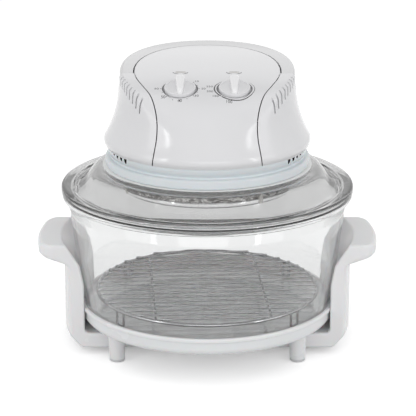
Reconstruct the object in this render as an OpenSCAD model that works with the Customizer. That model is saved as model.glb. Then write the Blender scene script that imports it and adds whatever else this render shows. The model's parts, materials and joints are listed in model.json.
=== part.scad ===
// Halogen oven: a glass bowl standing in a four-footed base with two side grips, closed by a
// lift-off glass lid that carries the heater and fan head with its two dials and carry handle.
// Millimetres, +Z up, front towards -Y, the table at z = 0 under the middle of the bowl.

/* [Base dish] */
// Height of the dish's underside above the table
ground_clear = 34; // [30:1:44]
// Floor thickness of the moulded dish
dish_wall = 3; // [2.4:0.2:4]
// Wall thickness of the dish's side
dish_side = 1.7; // [1.4:0.1:1.9]
// How far the dish's rolled rim stands out beyond the bowl's foot
dish_over = 6.9; // [6.6:0.1:7.6]
// Height of the rim's top above the dish's underside
dish_h = 21; // [19:1:26]
// Radius of the dish's lower outer curve
dish_curve_r = 14; // [10:1:16]
// Height of the bead that runs round the rim
dish_bead_h = 5; // [3:0.5:7]
// Height of the screw bosses above the dish's floor
boss_h = 2.6; // [1.5:0.1:2.8]

/* [Feet] */
// Foot diameter where it meets the dish
foot_top_d = 20.5; // [18:0.5:24]
// Foot diameter at the table
foot_low_d = 17.5; // [14:0.5:18]
// How far a foot's axis lies inside the dish's rim, sideways
foot_in_x = 46; // [44.5:0.5:55.5]
// How far a foot's axis lies inside the dish's rim, fore and aft
foot_in_y = 76.5; // [73.5:0.5:81.5]
// Thickness of the rubber pad under a foot
foot_pad_h = 3; // [2:0.5:5]

/* [Arms] */
// Depth of an arm from front to back
arm_depth = 107; // [80:1:112]
// Radial thickness of the upright post
post_t = 16.4; // [14:0.5:20]
// How far the grip stands out beyond the lid's rim
grip_reach = 28; // [21:1:35]
// Height of the grip's top face above the table
grip_top = 130; // [116:1:136]
// Thickness of the grip at its outer edge
grip_t = 17; // [14:0.5:22]
// Extra depth of the grip where it meets the post
grip_deep = 8; // [4:0.5:12]
// Corner radius of the grip seen from above
grip_corner_r = 18; // [10:1:24]
// Radius between the post and the member
elbow_r = 19; // [10:1:19]
// Width of the grip's top face, from its outer edge to the finger hollow
grip_face = 26; // [21:0.5:29]
// Wall of the hollow grip moulding
arm_wall = 3; // [2:0.5:4]
// Thickness of the member that runs under the dish
member_t = 18; // [12:1:22]
// Height of the member's underside above the table
member_low = 7; // [4:0.5:10]
// Length of the member under the dish
member_length = 63.5; // [51.5:1:71.5]

/* [Glass bowl] */
// Thickness of the bowl's wall and floor
bowl_wall = 4.5; // [3.5:0.5:6]
// How much wider the bowl's cone is at its mouth than at its foot, in radius
bowl_taper = 17.8; // [16:0.2:19.4]
// How far the bowl's flange stands out beyond its cone
bowl_lip = 5.6; // [4.8:0.2:7]
// Height of the bowl
bowl_h = 141.2; // [120:1:160]
// Thickness of the bowl's top flange
bowl_flange_t = 5; // [4:0.5:8]
// Outer radius of the bowl's bottom corner
bowl_corner_r = 16; // [10:1:20]
// Thickness of the silicone pads that the bowl stands on
rest_pad_h = 3.2; // [2.8:0.2:5]

/* [Wire rack] */
// How far the rack's rim lies inside the bowl's foot
rack_in = 14.3; // [12.6:0.5:30]
// Diameter of the rim wire
rack_rim_d = 4; // [3:0.5:5]
// Diameter of the cross bars
rack_bar_d = 2.4; // [2:0.2:3.4]
// Distance between the bars
rack_pitch = 14; // [7:0.5:16]
// Height of the rim wire's centre above the bowl's floor
rack_h = 19; // [14:1:26]
// Angle of the bars to the front
rack_turn = 4; // [0:1:30]
// Width of a leg's loop between wire centres
rack_leg_w = 9; // [7:0.5:14]

/* [Glass lid] */
// Outer radius of the lid's rim, which the bowl, dish and arms follow
lid_r = 165; // [160:0.5:170]
// How far the lid's rim stands out beyond the bowl's flange
lid_over = 1; // [0.5:0.1:2]
// Width of the raised rim
lid_rim_w = 12.2; // [9:0.2:14]
// Thickness of the raised rim
lid_rim_t = 8; // [6:0.5:10]
// Thickness of the glass between the rim and the seat
lid_t = 5; // [4:0.5:6]
// Rise of the head's seat above the rim's underside
lid_rise = 25; // [20:1:32]
// Outer radius of the flat seat under the head
lid_seat_r = 118; // [116:0.5:124]
// Radius of the hole in the lid
lid_hole_r = 80; // [79:0.5:82]

/* [Head base ring] */
// Outer radius of the ring's flange
flange_r = 114.7; // [112.6:0.1:115.5]
// Height of the flange
flange_h = 10.4; // [8:0.2:12]
// Outer radius of the vented band above the flange
band_r = 112.3; // [111:0.1:112.6]
// Height of the vented band up to the housing's edge
band_h = 11.9; // [11:0.1:13]
// Depth of the groove between the flange and the band
groove_d = 2; // [1:0.2:3]
// Wall thickness of the ring
ring_wall = 3; // [2.4:0.2:3.6]
// Width of a vent notch
vent_w = 5.2; // [3:0.2:6]
// Height of a vent notch
vent_h = 5.5; // [4:0.5:7]
// Vent notches in each group
vent_count = 5; // [3:1:7]

/* [Head housing] */
// Radius of the upper part of the housing
shell_r = 98.7; // [98.2:0.1:99.5]
// Radius of the lip at its widest
lip_max_r = 115.9; // [115.2:0.1:117]
// Radius of the lip's round edge
lip_round_r = 10; // [8:0.5:12]
// Height of the lip's widest line above the housing's lower edge
lip_h = 6.8; // [6:0.1:7.8]
// Radius of the concave flare above the lip
flare_r = 122; // [112:1:132]
// Height from the lower edge to where the flare turns upright
flare_h = 71.2; // [68:0.2:74]
// Height from the lower edge to the top near the back
crown_h = 96.9; // [94:0.1:102]
// Slope of the top near the back
crown_slope = 0.055; // [0.03:0.005:0.08]
// How fast the top steepens towards the front, per millimetre
crown_bend = 0.00078; // [0.0006:0.00001:0.0009]
// Edge rounding at the sides and back
edge_round = 5; // [4:0.5:9]
// Rounding of the brow above the front
brow_round = 36; // [28:1:46]
// Wall thickness of the housing and the centre panel
shell_wall = 2.5; // [2:0.1:3]
// Width of the gap between the centre panel and its neighbours
seam_gap = 0.8; // [0.5:0.1:1.2]
// Cooling slots on each shoulder
louvre_count = 8; // [4:1:9]
// Width of a cooling slot
louvre_w = 2; // [1.4:0.2:2.6]
// Height of the front slot's lower end above the housing's edge
louvre_low_h = 50.7; // [46:0.1:54]

/* [Carry handle] */
// Radius of the seam between the centre panel and the handle
handle_arc_r = 80.7; // [79:0.1:82]
// Fore and aft place of that arc's centre
handle_arc_y = -8.3; // [-12:0.1:-6]
// Gap beside the seam down to the handle's inner face
handle_arc_gap = 1.3; // [1:0.1:2]
// Slope of the handle's inner face, which clears the recess when the handle swings up
handle_draft = 0.15; // [0.14:0.01:0.2]
// How far the handle's side lies inside the shoulders
handle_inset = 1.4; // [0.8:0.1:2]
// Where the handle's ends meet the shoulders, fore and aft
handle_end_y = -16; // [-18:0.5:-14]
// Height of the band at its pivots
handle_band_h = 17.6; // [14:0.2:19]
// Running gap round the handle
handle_gap = 0.5; // [0.3:0.1:0.8]
// Extra clearance beside a knuckle, where the handle's sloping inner face swings past
knuckle_clear = 0.4; // [0.3:0.1:0.8]
// Fore and aft place of the pivot
pivot_y = -3; // [-5:0.5:-2]
// Depth of the pivot below the top surface
pivot_depth = 9.6; // [8.6:0.2:10.6]
// Diameter of the pivot pins
pivot_pin_d = 5; // [4:0.5:6]

/* [Dials] */
// Sideways distance of a dial from the middle
dial_x = 29.5; // [27:0.5:31]
// Fore and aft place of the dials
dial_y = -53; // [-55:0.5:-50]
// Radius of the round recess that a dial sits in
dial_recess_r = 18.5; // [17:0.1:19]
// Depth of the recess
dial_recess_d = 2.4; // [1.6:0.2:3]
// Radius of the dial's disc
dial_r = 17.2; // [15:0.1:17.6]
// Height of the disc's rim above the panel
dial_rim_h = 2.6; // [1.6:0.2:4]
// Height of the grip bar above the disc at its back
dial_grip_h = 7.5; // [6:0.5:12]
// Width of the grip bar at its back
dial_grip_w = 11; // [8:0.5:13]
// Width of the grip bar at its front
dial_nose_w = 6; // [4:0.5:8]
// Diameter of the dial shafts
dial_shaft_d = 6; // [5:0.5:6.5]

/* [Heater] */
// Outer radius of the heater drum
drum_r = 89; // [87:0.5:90]
// Depth of the drum below its top plate
drum_h = 15.8; // [14:0.2:18]
// Sheet thickness of the drum, the chassis and the brackets
sheet_t = 1; // [0.8:0.1:1.4]
// Height of the polished guard ring below the drum
guard_h = 6; // [5:0.5:7]
// Radius of the ring-shaped lamp at the tube's centre
lamp_r = 64; // [60:0.5:68]
// Diameter of the lamp's tube
lamp_d = 10; // [8:0.5:11]
// Thickness of the seal between the drum and the lid
drum_seal_t = 1.2; // [0.8:0.1:1.4]

/* [Motor and fans] */
// Diameter of the motor shaft
shaft_d = 6; // [5:0.5:6.4]
// Radius of the convection fan
fan_r = 46; // [36:1:50]
// Blades on the convection fan
fan_blades = 8; // [5:1:10]
// Radius of the cooling fan
cool_r = 40; // [30:1:41]
// Blades on the cooling fan
cool_blades = 9; // [5:1:11]
// Radius of the rotor
rotor_r = 13.5; // [11:0.5:14.5]
// Height of the lamination stack
stack_h = 18; // [14:1:20]

/* [Fasteners and fits] */
// Diameter of the structural screws
screw_d = 4; // [3:0.5:4.6]
// Clearance between pieces that lift apart or rest on each other
rest_gap = 0.3; // [0.2:0.05:0.4]
// Radial running clearance of shafts and pins
run_gap = 0.05; // [0.02:0.01:0.09]

/* [Hidden] */
$fn = 96;
eps = 0.01;
far = 400;

// Radii that follow the lid's rim
bowl_flange_r = lid_r - lid_over;
bowl_mouth_r = bowl_flange_r - bowl_lip;
bowl_low_r = bowl_mouth_r - bowl_taper;
dish_rim_r = bowl_low_r + dish_over;
rack_r = bowl_low_r - rack_in;
grip_r = lid_r + grip_reach;
hollow_r = grip_r - grip_face;
member_end_r = dish_rim_r - member_length;
foot_x = dish_rim_r - foot_in_x;
foot_y = dish_rim_r - foot_in_y;

// Stack of heights from the table up
dish_floor_z = ground_clear + dish_wall;
dish_top_z = ground_clear + dish_h;
boss_top_z = dish_floor_z + boss_h;
bowl_z = dish_floor_z + rest_pad_h + rest_gap;
bowl_floor_z = bowl_z + bowl_wall;
bowl_top_z = bowl_z + bowl_h;
rack_z = bowl_floor_z + rack_h;
lid_z = bowl_top_z + rest_gap;
lid_rim_z = lid_z + lid_rim_t;
seat_low_z = lid_z + lid_rise;
seat_z = seat_low_z + lid_t;
ring_z = seat_z + rest_gap;
flange_z = ring_z + flange_h;
web_z = ring_z + 1.7;
edge_z = flange_z + band_h;
lip_z = edge_z + lip_h;
flare_z = edge_z + flare_h;
crown_z = edge_z + crown_h;
crown_y = 85;
drum_top_z = seat_low_z - drum_seal_t;
drum_low_z = drum_top_z - drum_h;
guard_z = drum_low_z - guard_h;
chassis_z = web_z;
chassis_top_z = chassis_z + 1.2 * sheet_t;

// Bowl and lid outlines
bowl_slope = (bowl_mouth_r - bowl_low_r) / (bowl_h - bowl_flange_t);
lid_rim_in_r = lid_r - lid_rim_w;
register_h = 6;
register_r = bowl_mouth_r - bowl_wall - 1.2;

// Arms
post_r = dish_rim_r + rest_gap;
post_out_r = post_r + post_t;
member_top = member_low + member_t;
arm_pad_r = [dish_rim_r - 43.5, dish_rim_r - 19.5];
arm_screw = [dish_rim_r - 32.5, 20];
bore_d = screw_d + 0.4;
rest_pad_at = bowl_low_r - 22.6;
pad_r = 6;

// Head places
lip_cr = lip_max_r - lip_round_r;
louvre_r = 93;
louvre_from = 46.8;
louvre_pitch = 3.95;
lip_start = -asin((lip_h - 0.1) / lip_round_r);
vent_from = 52.5;
vent_pitch = 4.4;
draft = 35;
handle_z = top_z(pivot_y) - pivot_depth;
knuckle_r = norm([pivot_y - handle_end_y, top_z(handle_end_y) - handle_z]);
handle_in_r = handle_arc_r + handle_arc_gap;
handle_out_r = shell_r - handle_inset;
band_low_z = top_z(0) - handle_band_h;
band_tilt = atan(0.132);
pin_from = handle_in_r - handle_gap - knuckle_clear - shell_wall;
pin_length = 11;
ledge_r = 94;
well_r = 104;
dial_tilt = atan(top_slope(dial_y));
dial_z = top_z(dial_y);
shaft_r = shaft_d / 2;
gland_z = edge_z + 28;
gland_r = 8;
gland_bore_r = 4;
lens = [12, 4.6];
lens_y = -14;
switch_y = 84;
switch_pin_d = 4;
head_screw_r = 100;
head_screw_at = [20, 160, 200, 340];
spacer_r = 74;
spacer_at = [45, 135, 225, 315];
seal_r = [flange_r - 12.7, flange_r - 6.7];
shield_r = drum_r - 21;

// Motor stack
cool_z = chassis_top_z + 3.5;
cool_h = 11;
bridge_z = cool_z + cool_h + 3;
stack_z = bridge_z + sheet_t * 2 + 3;
top_bridge_z = stack_z + stack_h + 4;
shaft_low_z = guard_z + guard_h + 0.6;
shaft_top_z = top_bridge_z + 9;
post_x = 48;
stack_size = [60, 50];
fan_z = shaft_low_z + 4;

// Height of the head's top surface at a fore and aft place
function top_z(y) = crown_z - crown_slope * (crown_y - y) - crown_bend * pow(crown_y - y, 2);
// Its slope there
function top_slope(y) = crown_slope + 2 * crown_bend * (crown_y - y);
// Soft step from 0 to 1
function soft(t) = let (u = min(max(t, 0), 1)) u * u * (3 - 2 * u);
function bezier(p, q, r, s, t) =
    pow(1 - t, 3) * p + 3 * pow(1 - t, 2) * t * q + 3 * (1 - t) * t * t * r + pow(t, 3) * s;
function unit(v) = v / norm(v);

// Radius of the housing's wall at a height, inset by w
function wall_r(z, w) =
    z >= flare_z ? shell_r - w
    : shell_r + flare_r - sqrt(pow(flare_r + w, 2) - pow(flare_z - z, 2));
// Size of the rounding between wall and top, by azimuth from the front
function round_at(a) = edge_round + (brow_round - edge_round) * soft((cos(a) - 0.5) / 0.5);
// Height where wall and top surface would meet without rounding
function corner_z(a, w, n = 8, z = 0) =
    n == 0 ? z : corner_z(a, w, n - 1, top_z(-wall_r(z == 0 ? flare_z : z, w) * cos(a)) - w);

// Half section of the head at azimuth a, as [radius, height] points from the lower edge up
function head_section(a, w, low) =
    let (
        d = max(round_at(a) - w, 2),
        zc = corner_z(a, w),
        rc = wall_r(zc, w),
        zw = zc - 0.9 * d,
        rp = rc - d,
        from = [wall_r(zw, w), zw],
        to = [rp, top_z(-rp * cos(a)) - w],
        up = unit([wall_r(zw + 1, w) - wall_r(zw - 1, w), 2]),
        out = unit([1, top_z(-(rp + 1) * cos(a)) - top_z(-rp * cos(a))]),
        lip_end = 18,
        flare_start = lip_z + (lip_round_r - w) * sin(lip_end) + 3
    )
    concat(
        [[lip_cr + (lip_round_r - w) * cos(lip_start), edge_z - low]],
        [for (i = [0 : 3]) let (t = lip_start + (lip_end - lip_start) * i / 3)
            [lip_cr + (lip_round_r - w) * cos(t), lip_z + (lip_round_r - w) * sin(t)]],
        [for (i = [0 : 3]) let (z = flare_start + (zw - flare_start) * i / 4) [wall_r(z, w), z]],
        [for (i = [0 : 5]) bezier(from, from + 0.56 * d * up, to + 0.56 * d * out, to, i / 5)],
        [for (i = [1 : 3]) let (r = rp * (1 - i / 4)) [r, top_z(-r * cos(a)) - w]]
    );

// Solid of the whole head, inset by w, with its foot lowered by low
module head_solid(w, low = 0.5, steps = 56) {
    rows = [for (i = [0 : steps - 1]) head_section(360 * i / steps, w, low)];
    m = len(rows[0]);
    points = concat(
        [for (i = [0 : steps - 1]) for (p = rows[i])
            [p[0] * sin(360 * i / steps), -p[0] * cos(360 * i / steps), p[1]]],
        [[0, 0, edge_z - low], [0, 0, top_z(0) - w]]
    );
    faces = concat(
        [for (i = [0 : steps - 1]) for (j = [0 : m - 2])
            let (a = i * m + j, b = ((i + 1) % steps) * m + j) [a, a + 1, b]],
        [for (i = [0 : steps - 1]) for (j = [0 : m - 2])
            let (a = i * m + j, b = ((i + 1) % steps) * m + j) [b, a + 1, b + 1]],
        [for (i = [0 : steps - 1]) [i * m, ((i + 1) % steps) * m, steps * m]],
        [for (i = [0 : steps - 1]) [i * m + m - 1, steps * m + 1, ((i + 1) % steps) * m + m - 1]]
    );
    polyhedron(points, faces);
}

// Front edge of the centre panel, seen along its draft direction, as [half width, height]
seam_knots = [
    [handle_arc_r, 262], [handle_arc_r - 0.4, 251], [76.6, 239.5], [68.6, 225], [61.6, 213],
    [57.4, 201], [54.5, 187], [53.6, 174], [54.5, 161], [56.7, 149], [59.5, 132], [61.4, 112]
];
function knot(i) = seam_knots[min(max(i, 0), len(seam_knots) - 1)];
function smooth_run(n = 4) = [
    for (i = [0 : len(seam_knots) - 2]) for (k = [0 : n - 1])
        let (p = knot(i), s = knot(i + 1), m = (s - knot(i - 1)) / 6, o = (knot(i + 2) - p) / 6)
        bezier(p, p + m, s - o, s, k / n)
];
// The stack may grow, so the outline moves with the housing's lower edge
seam_edge_z = 234.6;
seam_lift = (edge_z - seam_edge_z) * cos(draft);

module panel_zone(grow) {
    intersection() {
        translate([0, handle_arc_y, edge_z]) cylinder(r = handle_arc_r + grow, h = far);
        translate([-far / 2, handle_end_y, edge_z - 20]) cube([far, far, far]);
    }
    intersection() {
        rotate([90 - draft, 0, 0]) translate([0, seam_lift, 0])
            linear_extrude(height = 2 * far, center = true) union() {
                run = smooth_run();
                polygon(concat(
                    [for (p = run) [p[0] + grow, p[1]]],
                    [for (i = [len(run) - 1 : -1 : 0]) [-run[i][0] - grow, run[i][1]]]
                ));
            }
        translate([-far / 2, handle_end_y - far, edge_z - 20]) cube([far, far + eps, far]);
    }
}

// Cone of the handle's inner face, whose axis stands square to the top
module arc_cone(g) {
    down = 60;
    translate([0, handle_arc_y, top_z(handle_arc_y)]) rotate([band_tilt, 0, 0])
        translate([0, 0, -down]) cylinder(r1 = handle_in_r + handle_draft * down - g,
                                          r2 = handle_in_r - handle_draft * down - g, h = 2 * down);
}

// Space of the folded handle and its knuckles, grown by g
module handle_space(g) {
    difference() {
        translate([-far / 2, pivot_y, band_low_z]) rotate([band_tilt, 0, 0])
            translate([0, -g, -g]) cube([far, far, far / 2]);
        arc_cone(g);
        translate([-far / 2, pivot_y - g - far, 0]) cube([far, far, far]);
    }
    inner = handle_in_r - g - (g > 0 ? knuckle_clear : 0);
    for (side = [-1, 1]) translate([side * inner, pivot_y, handle_z])
        rotate([0, side * 90, 0]) cylinder(r = knuckle_r + g, h = 40);
}

module at_dial(side) {
    translate([side * dial_x, dial_y, dial_z]) rotate([dial_tilt, 0, 0]) children();
}

module ring(r_out, r_in, h) {
    difference() {
        cylinder(r = r_out, h = h);
        translate([0, 0, -1]) cylinder(r = r_in, h = h + 2);
    }
}

module screw(length, head_r = screw_d * 0.9, head_h = screw_d * 0.55) {
    cylinder(d = screw_d, h = length);
    translate([0, 0, -head_h]) difference() {
        cylinder(r = head_r, h = head_h);
        translate([0, 0, -1]) for (a = [0, 90]) rotate(a)
            translate([-head_r * 0.6, -0.5, 0]) cube([head_r * 1.2, 1, 1 + head_h * 0.55]);
    }
}

module base_dish() {
    low_r = dish_rim_r - 2.5 - dish_curve_r;
    inner_r = dish_curve_r - dish_side;
    color("white") difference() {
        union() {
            rotate_extrude() difference() {
                union() {
                    translate([0, ground_clear]) square([low_r, dish_h - eps]);
                    translate([low_r, ground_clear + dish_curve_r]) circle(r = dish_curve_r);
                    translate([low_r, ground_clear + dish_curve_r])
                        square([dish_curve_r, dish_h - dish_curve_r - 0.5]);
                    translate([low_r, dish_top_z - dish_bead_h]) square([dish_curve_r, dish_bead_h]);
                    translate([dish_rim_r - dish_bead_h / 2, dish_top_z - dish_bead_h / 2])
                        circle(d = dish_bead_h);
                }
                translate([0, dish_floor_z]) square([low_r, dish_h]);
                translate([low_r, dish_floor_z + inner_r]) circle(r = inner_r);
                translate([0, dish_floor_z + inner_r]) square([low_r + inner_r, dish_h]);
                translate([-far, 0]) square([far, far]);
            }
            for (p = foot_places()) translate([p[0], p[1], ground_clear])
                cylinder(r = pad_r, h = boss_top_z - ground_clear);
            for (p = arm_places()) translate([p[0], p[1], ground_clear])
                cylinder(r = pad_r, h = boss_top_z - ground_clear);
        }
        for (p = concat(foot_places(), arm_places())) translate([p[0], p[1], ground_clear - 1])
            cylinder(d = bore_d, h = boss_top_z - ground_clear + 2);
    }
}

function foot_places() = [for (x = [-1, 1], y = [-1, 1]) [x * foot_x, y * foot_y]];
function arm_places() = [for (x = [-1, 1], y = [-1, 1]) [x * arm_screw[0], y * arm_screw[1]]];

module rest_pads() {
    color("gainsboro") for (a = [0 : 90 : 270]) rotate(a)
        translate([rest_pad_at, 0, dish_floor_z]) cylinder(r = pad_r, h = rest_pad_h);
}

module feet() {
    h = ground_clear - foot_pad_h;
    color("white") for (p = foot_places()) translate([p[0], p[1], foot_pad_h]) difference() {
        cylinder(d1 = foot_low_d, d2 = foot_top_d, h = h);
        translate([0, 0, -1]) cylinder(d = bore_d, h = h + 2);
        translate([0, 0, -1]) cylinder(r = screw_d * 1.1, h = h / 2 + 1);
    }
}

module foot_pads() {
    round_r = 1.5;
    r = foot_low_d / 2;
    color("lightgray") for (p = foot_places()) translate([p[0], p[1], 0]) rotate_extrude() {
        square([r - round_r, foot_pad_h]);
        translate([0, round_r]) square([r, foot_pad_h - round_r]);
        translate([r - round_r, round_r]) circle(r = round_r);
    }
}

module foot_screws() {
    seat = foot_pad_h + (ground_clear - foot_pad_h) / 2;
    color("silver") for (p = foot_places()) translate([p[0], p[1], seat])
        screw(boss_top_z - seat);
}

// Radial section of an arm: grip, post and member in one line
module arm_section() {
    edge = 5;
    grip_low = grip_top - grip_t;
    difference() {
        union() {
            // Grip with rounded outer edges and an underside that falls towards the post
            translate([post_r, grip_low]) square([grip_r - edge - post_r, grip_t]);
            translate([post_r, grip_low + edge]) square([grip_r - post_r, grip_t - 2 * edge]);
            for (z = [grip_low + edge, grip_top - edge]) translate([grip_r - edge, z]) circle(r = edge);
            polygon([[post_r, grip_low - grip_deep], [post_out_r, grip_low - grip_deep],
                     [grip_r - edge, grip_low + eps], [post_r, grip_low + eps]]);
            // Post and member
            translate([post_r, member_top]) square([post_t, grip_low - member_top]);
            translate([member_end_r, member_low])
                square([post_out_r - elbow_r - member_end_r, member_t]);
            intersection() {
                translate([post_out_r - elbow_r, member_low + elbow_r]) circle(r = elbow_r);
                translate([post_out_r - elbow_r, member_low]) square(elbow_r);
            }
            translate([post_r, member_low + elbow_r]) square([post_t, member_t]);
        }
        // Room for the dish above the member
        translate([member_end_r - 1, member_top])
            square([post_r - member_end_r + 1, grip_low - grip_deep - member_top]);
        // Finger hollow that opens upwards behind the grip, and the post's lean away from the bowl
        lean = [4, 23];
        polygon([[post_r - 1, grip_low - grip_deep - lean[1]], [post_r, grip_low - grip_deep - lean[1]],
                 [post_r + lean[0], grip_low - grip_deep], [hollow_r, grip_top + eps],
                 [post_r - 1, grip_top + eps]]);
        // Hollow underside of the grip
        translate([post_out_r + arm_wall, grip_low - grip_deep - 1])
            square([grip_r - 2 * arm_wall - post_out_r, grip_t + grip_deep + 1 - arm_wall]);
    }
    // Pad that the dish is screwed to
    translate([arm_pad_r[0], member_low])
        square([arm_pad_r[1] - arm_pad_r[0], ground_clear - member_low]);
}

module arm() {
    color("white") difference() {
        intersection() {
            union() {
                intersection() {
                    rotate(180 - 60) rotate_extrude(angle = 120) arm_section();
                    linear_extrude(height = far) difference() {
                        translate([-far, -arm_depth / 2]) square([far, arm_depth]);
                        for (side = [-1, 1]) scale([1, side]) arm_corner();
                    }
                }
                for (y = [-1, 1]) grip_end(y);
            }
            cylinder(r = far, h = far);
        }
        for (y = [-1, 1]) translate([-arm_screw[0], y * arm_screw[1], 0]) {
            cylinder(d = bore_d, h = far);
            cylinder(r = screw_d * 1.1, h = member_low + member_t / 2);
        }
    }
}

// Removes the sharp outer corner of the grip in plan
module arm_corner() {
    x = -sqrt(pow(grip_r, 2) - pow(arm_depth / 2 - grip_corner_r, 2)) + grip_corner_r;
    translate([0, arm_depth / 2 - grip_corner_r]) difference() {
        translate([-far, 0]) square([far + x, far]);
        translate([x, 0]) circle(r = grip_corner_r);
    }
}

// Closes the grip's hollow at one end
module grip_end(y) {
    grip_low = grip_top - grip_t;
    inner = post_out_r - eps;
    outer = grip_r - arm_wall;
    intersection() {
        rotate_extrude() polygon([[inner, grip_low - grip_deep], [outer, grip_low],
                                  [outer, grip_top - arm_wall], [inner, grip_top - arm_wall]]);
        translate([-far, y > 0 ? arm_depth / 2 - arm_wall : -arm_depth / 2, 0])
            cube([far, arm_wall, far]);
        linear_extrude(height = far) difference() {
            translate([-far, -arm_depth / 2]) square([far, arm_depth]);
            for (side = [-1, 1]) scale([1, side]) arm_corner();
        }
    }
}

module left_arm() {
    arm();
}

module right_arm() {
    mirror([1, 0, 0]) arm();
}

module arm_screws() {
    seat = member_low + member_t / 2;
    color("silver") for (p = arm_places()) translate([p[0], p[1], seat])
        screw(boss_top_z - seat);
}

module glass_bowl() {
    w = bowl_wall;
    h = bowl_h - bowl_flange_t;
    low = bowl_low_r - bowl_corner_r + 2;
    neck = 14;
    color("lightcyan", 0.4) translate([0, 0, bowl_z]) rotate_extrude() difference() {
        union() {
            polygon([[0, 0], [low, 0], [low, h], [0, h]]);
            polygon([[low, bowl_corner_r], [bowl_low_r + bowl_slope * bowl_corner_r, bowl_corner_r],
                     [bowl_mouth_r, h], [low, h]]);
            translate([low, bowl_corner_r]) circle(r = bowl_corner_r);
            // Thick neck that flares into the flange
            polygon([[low, h - neck], [bowl_mouth_r - bowl_slope * neck, h - neck],
                     [bowl_mouth_r + 1, h - 4], [bowl_flange_r - 2, h + eps], [low, h + eps]]);
            translate([low, h]) square([bowl_flange_r - low - bowl_flange_t / 2, bowl_flange_t]);
            translate([bowl_flange_r - bowl_flange_t / 2, h + bowl_flange_t / 2])
                circle(d = bowl_flange_t);
        }
        corner = bowl_corner_r - w;
        polygon([[-1, w], [low, w], [low, bowl_h + 1], [-1, bowl_h + 1]]);
        translate([low, w + corner]) circle(r = corner);
        polygon([[0, w + corner], [bowl_low_r - w + bowl_slope * (w + corner), w + corner],
                 [bowl_mouth_r - w, h], [bowl_mouth_r - w, bowl_h + 1], [0, bowl_h + 1]]);
    }
}

function leg_places() = [for (a = [41, 139, 221, 319]) a];

module rack_ring() {
    r = rack_rim_d / 2;
    leg_r = rack_bar_d / 2;
    bend = rack_leg_w / 2;
    leg_low = bowl_floor_z + rest_gap + leg_r + bend;
    color("silver") {
        translate([0, 0, rack_z]) rotate_extrude() translate([rack_r, 0]) circle(r = r);
        for (a = leg_places()) rotate(a) translate([rack_r, 0, 0]) {
            for (y = [-bend, bend]) translate([0, y, leg_low]) cylinder(r = leg_r, h = rack_z - leg_low);
            translate([0, 0, leg_low]) rotate([90, 0, 90]) rotate(180)
                rotate_extrude(angle = 180) translate([bend, 0]) circle(r = leg_r);
        }
        for (x = [-rack_r / 2, rack_r / 2]) rotate(rack_turn) translate([x, 0, rack_z])
            rotate([90, 0, 0]) cylinder(r = leg_r, center = true,
                                        h = 2 * sqrt(pow(rack_r, 2) - x * x));
    }
}

module rack_bars() {
    bar_r = rack_bar_d / 2;
    count = floor((rack_r - 4) / rack_pitch);
    // The bars are welded on the rim, so they sink a little into it
    weld = 0.3;
    color("silver") rotate(rack_turn) for (i = [-count : count]) {
        y = i * rack_pitch;
        translate([0, y, rack_z + rack_rim_d / 2 + bar_r - weld]) rotate([0, 90, 0])
            cylinder(r = bar_r, center = true, h = 2 * sqrt(pow(rack_r, 2) - y * y));
    }
}

module glass_lid() {
    edge = 2.5;
    slope_r = lid_rim_in_r - 1;
    color("lightcyan", 0.4) rotate_extrude() {
        difference() {
            union() {
                translate([lid_rim_in_r, lid_z]) square([lid_rim_w - edge, lid_rim_t]);
                translate([lid_rim_in_r, lid_z]) square([lid_rim_w, lid_rim_t - edge]);
                translate([lid_r - edge, lid_rim_z - edge]) circle(r = edge);
                translate([lid_rim_in_r, lid_rim_z - edge]) circle(r = edge);
            }
            translate([lid_rim_in_r - 10, lid_z - 10]) square([8, 30]);
        }
        // Shallow dome between the rim and the seat
        polygon(concat(
            [for (t = [0 : 0.1 : 1]) dome_point(t, slope_r, 0)],
            [for (t = [1 : -0.1 : 0]) dome_point(t, slope_r, lid_t)]
        ));
        translate([lid_hole_r, seat_low_z]) square([lid_seat_r - lid_hole_r + 1, lid_t]);
        // Register that drops inside the bowl's mouth
        translate([register_r - 3.5, lid_z - register_h]) square([3.5, register_h + 2]);
        translate([register_r - 4, lid_z]) square([lid_rim_in_r - register_r + 6, lid_t - 1]);
    }
}

// Point of the dome's lower line at t, from the seat to the rim, raised by up
function dome_point(t, slope_r, up) =
    bezier([lid_seat_r, seat_low_z], [lid_seat_r + 14, seat_low_z],
           [slope_r - 16, lid_z + 1], [slope_r, lid_z], t) + [0, up];

module lid_seal() {
    color("gainsboro") translate([0, 0, seat_z]) ring(seal_r[1], seal_r[0], rest_gap + 1);
}

module drum_seal() {
    color("gainsboro") translate([0, 0, drum_top_z]) ring(drum_r - 1, lid_hole_r + 1, drum_seal_t);
}

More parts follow.
